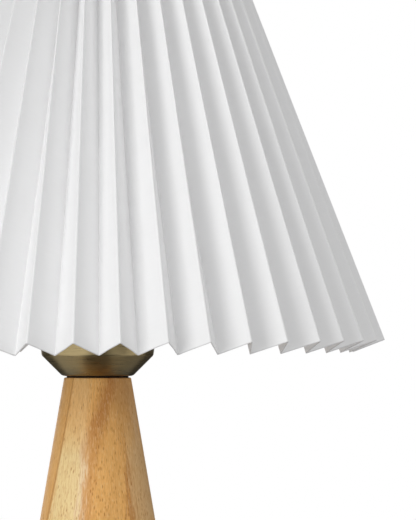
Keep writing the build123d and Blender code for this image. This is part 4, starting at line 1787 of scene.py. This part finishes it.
@dataclass
class Carrier:
    """Bent wire carrier: fitter ring, three arms and top ring, spot-welded."""

    first_angle: float = math.pi / 2
    arm_start: float = 30.2 * MM
    knee: float = 38.5 * MM
    bend: float = 6 * MM
    wire: float = 1.25 * MM
    arms: int = 3
    weld_gap: float = 0.03 * MM

    def build(self, shop: Workshop) -> None:
        """Builds the three parts.

        Args:
            shop: The workshop.
        """
        fitter, top = Extent.of("carrier_fitter_ring"), Extent.of("carrier_top_ring")
        outline = washer_outline(21 * MM, fitter.radius, fitter.bottom, fitter.top, 0.35 * MM)
        flat = smooth_piece("fitter_ring", turned(outline, 128))
        shop.place(flat, Body.CARRIER, "carrier_wire", "carrier_fitter_ring")
        shop.place(self.top_ring(top), Body.CARRIER, "carrier_wire", "carrier_top_ring")
        shop.place(self.wire_arms(shop, fitter, top), Body.CARRIER, "carrier_wire", "carrier_arms")

    @staticmethod
    def top_ring(top: Extent) -> bpy.types.Object:
        """Round wire bent into a ring.

        Args:
            top: Place of the top ring.

        Returns:
            The ring.
        """
        wire = (top.top - top.bottom) / 2
        centre = (top.top + top.bottom) / 2
        angles = [math.tau * step / 24 for step in range(24)]
        section = [(top.radius - wire + wire * math.cos(a), centre + wire * math.sin(a)) for a in angles]
        return smooth_piece("top_wire_ring", turned(section, 160))

    def wire_arms(self, shop: Workshop, fitter: Extent, top: Extent) -> bpy.types.Object:
        """Arms from the fitter ring up to the inside of the top ring, with their weld beads.

        Args:
            shop: The workshop.
            fitter: Place of the fitter ring.
            top: Place of the top ring.

        Returns:
            The arms and beads, one object.
        """
        top_wire = (top.top - top.bottom) / 2
        foot_z = fitter.top + self.wire + self.weld_gap
        head_r = top.radius - 2 * top_wire - self.wire - self.weld_gap
        path = bpy.data.meshes.new("arm_path")
        points = [(self.arm_start, 0, foot_z), (self.knee, 0, foot_z), (head_r, 0, top.top)]
        path.from_pydata(points, [(0, 1), (1, 2)], [])
        piece = bpy.data.objects.new("wire_arms", path)
        bpy.context.scene.collection.objects.link(piece)
        material = shop.material("carrier_wire")
        shared = {"Count": self.arms, "First angle": self.first_angle, "Material": material}
        run_tree(piece, shop.trees.bent_wires, {**shared, "Wire radius": self.wire, "Bend radius": self.bend})
        beads = (
            (self.arm_start + 1.6 * MM, fitter.top + 0.3 * MM, (2.0 * MM, 1.9 * MM, 0.9 * MM)),
            (head_r + self.wire, top.top - 1.5 * MM, (0.9 * MM, 1.5 * MM, 1.3 * MM)),
        )
        for radius, height, size in beads:
            run_tree(piece, shop.trees.beads, {**shared, "Radius": radius, "Height": height, "Size": size})
        smooth(piece)
        return piece


@dataclass
class Shade:
    """Pleated paper cone: one strip through 80 folds, gathered near its upper edge."""

    pleats: int = 40
    ridge_bottom: float = 150 * MM
    ridge_top: float = 62.538 * MM
    ridge_reach: Point2 = (0.65 * MM, 0.1 * MM)
    trim: float = 0.4 * MM
    trim_slope: float = 0.0055
    panel_width: float = 20 * MM
    paper: float = 0.4 * MM
    lap_panels: float = 0.86
    looseness: float = 0.35
    seed: int = 11
    # Folds count from the valley at the front, to the right. Looseness, crowding and sway are degrees.
    crowding: float = 3.4
    crowded_folds: Point2 = (5.0, 45.0)
    sway: float = 1.2
    swaying_folds: float = 14.0

    def build(self, shop: Workshop) -> None:
        """Builds the paper and the thread that gathers it."""
        shop.place(self.paper_strip(shop), Body.SHADE, "shade_paper", "pleated_shade")
        shop.place(self.thread(shop), Body.SHADE, "thread_white", "gathering_thread")

    def valley_radius(self, ridge: float) -> float:
        """Radius of the valleys where the ridges have this radius, for panels of one width."""
        half = math.pi / self.pleats
        return ridge * math.cos(half) - math.sqrt(self.panel_width**2 - (ridge * math.sin(half)) ** 2)

    def fold_ends(self) -> Tuple[Tuple[Point2, Point2], Tuple[Point2, Point2]]:
        """Radius and height of the lower and upper end of a valley and of a ridge.

        Returns:
            The valley's two ends and the ridge's two ends.
        """
        strip = Extent.of("pleated_shade")
        valley_bottom, valley_top = (self.valley_radius(r) for r in (self.ridge_bottom, self.ridge_top))
        depth_low, depth_high = self.ridge_bottom - valley_bottom, self.ridge_top - valley_top
        slope = 0.0
        for _ in range(8):
            slope = (self.ridge_bottom - self.ridge_top) / (strip.top - strip.bottom - slope * depth_low)
        valley = ((valley_bottom, strip.bottom), (valley_top, strip.top - slope * depth_high))
        ridge = ((self.ridge_bottom, strip.bottom + slope * depth_low), (self.ridge_top, strip.top))
        return valley, ridge

    def swing(self, fold: int, dice: random.Random) -> Point2:
        """Degrees that a fold stands off its even place, at its lower and at its upper edge.

        The folds of the right side crowd towards the front, the upper edge sways, and all are loose.

        Args:
            fold: The fold's number, counted from the front.
            dice: Seeded random numbers.

        Returns:
            The lower and the upper swing.
        """
        first, last = self.crowded_folds
        share = min(max((fold - first) / (last - first), 0.0), 1.0)
        low = -self.crowding * math.sin(math.pi * share) ** 2
        turn = min(abs(fold) / self.swaying_folds, 1.0)
        high = self.sway * math.sin(math.pi * turn) ** 2
        low_loose, high_loose = (dice.uniform(-self.looseness, self.looseness) for _ in range(2))
        return low + low_loose, high + high_loose

    def fold_lines(self) -> bpy.types.Object:
        """Fold lines as loose edges, from the valley at the rear all the way round.

        Returns:
            An object of loose edges.
        """
        dice = random.Random(self.seed)
        valley, ridge = self.fold_ends()
        points: List[Point3] = []
        for number in range(2 * self.pleats):
            from_front = number - self.pleats
            swing = self.swing(from_front, dice)
            ends: List[Vector] = []
            reach = self.ridge_reach if number % 2 else (0.0, 0.0)
            for (radius, height), degrees, more in zip(ridge if number % 2 else valley, swing, reach):
                angle = from_front * math.pi / self.pleats + math.radians(degrees)
                out = radius + more
                ends.append(Vector((out * math.sin(angle), -out * math.cos(angle), height)))
            cut = self.trim + self.trim_slope * ends[0].x
            ends[0] = ends[0].lerp(ends[1], cut / (ends[1].z - ends[0].z))
            points += [tuple(end) for end in ends]
        mesh = bpy.data.meshes.new("fold_lines")
        mesh.from_pydata(points, [(2 * n, 2 * n + 1) for n in range(2 * self.pleats)], [])
        piece = bpy.data.objects.new("paper_pleats", mesh)
        bpy.context.scene.collection.objects.link(piece)
        return piece

    def paper_strip(self, shop: Workshop) -> bpy.types.Object:
        """Paper through the fold lines, with its thickness inwards.

        Args:
            shop: The workshop.

        Returns:
            The paper.
        """
        piece = self.fold_lines()
        _, ridge = self.fold_ends()
        inputs = {
            "Folds": 2 * self.pleats,
            "Lap panels": self.lap_panels,
            "Columns": 14 * (2 * self.pleats + 1),
            "Panel width": self.panel_width,
            "Fold length": math.hypot(ridge[1][0] - ridge[0][0], ridge[1][1] - ridge[0][1]),
            "Material": shop.material("shade_paper"),
        }
        run_tree(piece, shop.trees.pleats, inputs)
        wall = piece.modifiers.new("paper", "SOLIDIFY")
        wall.thickness = self.paper
        wall.offset = 1.0
        wall.use_even_offset = True
        apply_modifiers(piece)
        smooth(piece, 60.0)
        return piece

    @staticmethod
    def thread(shop: Workshop) -> bpy.types.Object:
        """Two-ply thread through the pleats.

        Args:
            shop: The workshop.

        Returns:
            The thread.
        """
        ring = Extent.of("gathering_thread")
        lay = (ring.top - ring.bottom) / 4
        piece = bpy.data.objects.new("two_ply_thread", bpy.data.meshes.new("two_ply_thread"))
        bpy.context.scene.collection.objects.link(piece)
        inputs = {
            "Ring radius": ring.radius - 2 * lay,
            "Height": (ring.top + ring.bottom) / 2,
            "Strand radius": lay,
            "Lay": lay,
            "Twists": 110.0,
            "Material": shop.material("thread_white"),
        }
        run_tree(piece, shop.trees.twisted_ring, inputs)
        smooth(piece, 80.0)
        return piece


# ---- studio ------------------------------------------------------------------------------------
@dataclass
class Camera:
    """Long lens from the front, level with the lower part of the shade."""

    distance: float = 4.0
    height: float = 0.238
    aim: Point3 = (0.0577, 0.0, 0.2529)
    lens: float = 529.9

    def build(self) -> None:
        """Makes the scene's camera."""
        data = bpy.data.cameras.new("camera")
        data.lens = self.lens
        data.sensor_width = 36.0
        data.clip_start = 0.1
        data.clip_end = 100.0
        camera = bpy.data.objects.new("camera", data)
        camera.location = (0.0, -self.distance, self.height)
        direction = Vector(self.aim) - camera.location
        camera.rotation_euler = direction.to_track_quat("-Z", "Y").to_euler()
        bpy.context.scene.collection.objects.link(camera)
        bpy.context.scene.camera = camera


@dataclass(frozen=True)
class SoftBox:
    """A square lamp: where it stands, what it aims at, its width and its power."""

    name: str
    place: Point3
    width: float
    power: float
    aim: Point3 = (0.0, 0.0, 0.28)

    def build(self) -> None:
        """Makes the lamp."""
        data = bpy.data.lights.new(self.name, "AREA")
        data.shape = "SQUARE"
        data.size = self.width
        data.energy = self.power
        lamp = bpy.data.objects.new(self.name, data)
        lamp.location = self.place
        lamp.rotation_euler = (Vector(self.aim) - Vector(self.place)).to_track_quat("-Z", "Y").to_euler()
        lamp.visible_camera = False
        bpy.context.scene.collection.objects.link(lamp)


@dataclass(frozen=True)
class Card:
    """A card that only mirrors see: its centre, two sides, its grey and which way its face is."""

    name: str
    centre: Point3
    width: float
    height: float
    grey: float = 0.01
    turn: float = 0.0
    lying: bool = False

    def build(self) -> None:
        """Makes the card."""
        half_w, half_h = self.width / 2, self.height / 2
        mesh = bpy.data.meshes.new(self.name)
        corners = [(-half_w, -half_h, 0), (half_w, -half_h, 0), (half_w, half_h, 0), (-half_w, half_h, 0)]
        mesh.from_pydata(corners, [], [(0, 1, 2, 3)])
        raise_up = 0.0 if self.lying else math.pi / 2
        mesh.transform(
            Matrix.Translation(self.centre)
            @ Matrix.Rotation(math.radians(self.turn), 4, "Z")
            @ Matrix.Rotation(raise_up, 4, "X")
        )
        piece = bpy.data.objects.new(self.name, mesh)
        bpy.context.scene.collection.objects.link(piece)
        material = bpy.data.materials.new(self.name)
        material.use_nodes = True
        shader = material.node_tree.nodes["Principled BSDF"]
        shader.inputs["Base Color"].default_value = (*(self.grey,) * 3, 1.0)
        shader.inputs["Roughness"].default_value = 1.0
        piece.data.materials.append(material)
        for flag in ("camera", "diffuse", "transmission", "volume_scatter", "shadow"):
            setattr(piece, "visible_" + flag, False)


@dataclass
class Studio:
    """White floor and surroundings, soft lamps and the dark cards that metal mirrors."""

    floor_radius: float = 3.0
    floor_grey: float = 0.82
    ambient: float = 0.53
    boxes: Tuple[SoftBox, ...] = (
        SoftBox("key", (-1.98, -2.72, 0.94), 1.8, 41.5),
        SoftBox("fill", (1.6, -3.1, 0.9), 2.0, 6.0),
        SoftBox("back", (-1.3, 3.1, 1.1), 2.0, 15.0),
    )
    cards: Tuple[Card, ...] = (
        Card("front_card", (0.25, -6.0, 1.2), 3.2, 5.0),
        Card("right_front_card", (3.9, -3.9, 1.2), 5.0, 5.0, 0.12, 45.0),
        Card("right_front_floor_card", (1.75, -1.6, 0.002), 2.5, 2.5, 0.12, lying=True),
        Card("left_card", (-5.0, 1.2, 1.2), 4.0, 5.0, turn=90.0),
        Card("right_card", (5.0, 1.2, 1.2), 4.0, 5.0, turn=90.0),
        Card("left_back_card", (-2.7, 4.2, 1.2), 3.6, 5.0, 0.05, 32.7),
        Card("right_back_card", (2.7, 4.2, 1.2), 3.6, 5.0, 0.05, -32.7),
        Card("front_floor_card", (0.09, -1.55, 0.002), 0.42, 2.9, lying=True),
        Card("neck_flag", (0.0, -0.0599, 0.176), 0.028, 0.0802, 0.3, lying=True),
        Card("left_near_card", (-0.30, 0.07, 0.003), 0.5, 0.26, 0.6, lying=True),
        Card("right_near_card", (0.30, 0.08, 0.003), 0.5, 0.28, 0.34, lying=True),
        Card("left_floor_card", (-1.55, 1.7, 0.002), 2.9, 3.0, 0.03, lying=True),
        Card("right_floor_card", (1.56, 1.72, 0.002), 3.0, 3.0, 0.03, lying=True),
    )

    def build(self) -> None:
        """Makes the floor, the surroundings, the lamps and the cards."""
        self.world()
        self.floor()
        for box in self.boxes:
            box.build()
        for card in self.cards:
            card.build()
        view = bpy.context.scene.view_settings
        view.view_transform = "Standard"

    @staticmethod
    def seen(writer: TreeWriter) -> bpy.types.NodeSocket:
        """1 for rays from the camera and for rays in a mirror or glass, 0 for the rest.

        Args:
            writer: Writes the tree's nodes.

        Returns:
            The share.
        """
        path = writer.add("ShaderNodeLightPath").outputs
        share = writer.math("MAXIMUM", path["Is Camera Ray"], path["Is Glossy Ray"])
        return writer.math("MAXIMUM", share, path["Is Transmission Ray"])

    def world(self) -> None:
        """White surroundings that light the lamp at a plain level."""
        world = bpy.data.worlds.new("surroundings")
        bpy.context.scene.world = world
        world.use_nodes = True
        writer = TreeWriter(world.node_tree)
        sky = world.node_tree.nodes["Background"]
        sky.inputs["Color"].default_value = (1.0, 1.0, 1.0, 1.0)
        writer.feed(sky.inputs["Strength"], writer.blend(self.seen(writer), self.ambient, 1.0))

    def floor(self) -> None:
        """Pale round floor that fades into the surroundings and keeps the lamp's shadow."""
        mesh = turned(((0.0, -0.01), (self.floor_radius, -0.01), (self.floor_radius, 0.0), (0.0, 0.0)), 128)
        piece = smooth_piece("floor", mesh)
        material = bpy.data.materials.new("floor_white")
        material.use_nodes = True
        tree = material.node_tree
        tree.nodes.clear()
        writer = TreeWriter(tree)
        matt = writer.add("ShaderNodeBsdfDiffuse", {"Color": (*(self.floor_grey,) * 3, 1.0)})
        glow = writer.add("ShaderNodeEmission", {"Color": (1.0, 1.0, 1.0, 1.0), "Strength": 1.0})
        place = writer.add("ShaderNodeTexCoord").outputs["Object"]
        away = writer.add("ShaderNodeVectorMath", {0: place}, operation="LENGTH").outputs["Value"]
        fade = writer.blend(writer.span(away, 0.5, self.floor_radius), 0.6, 1.0)
        share = writer.times(self.seen(writer), fade)
        mixed = writer.add("ShaderNodeMixShader", {0: share, 1: matt.outputs[0], 2: glow.outputs[0]})
        writer.add("ShaderNodeOutputMaterial", {"Surface": mixed.outputs[0]})
        piece.data.materials.append(material)


def main() -> None:
    """Builds the lamp round its frame."""
    logging.basicConfig(level=logging.INFO, format="%(name)s: %(message)s")
    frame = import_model()
    Camera().build()
    Studio().build()
    shop = Workshop(frame)
    for assembly in (Foot(), Cup(), Lampholder(), Bulb(), Carrier(), Shade()):
        LOG.info("building the %s", type(assembly).__name__.lower())
        assembly.build(shop)


if __name__ == "__main__":
    main()
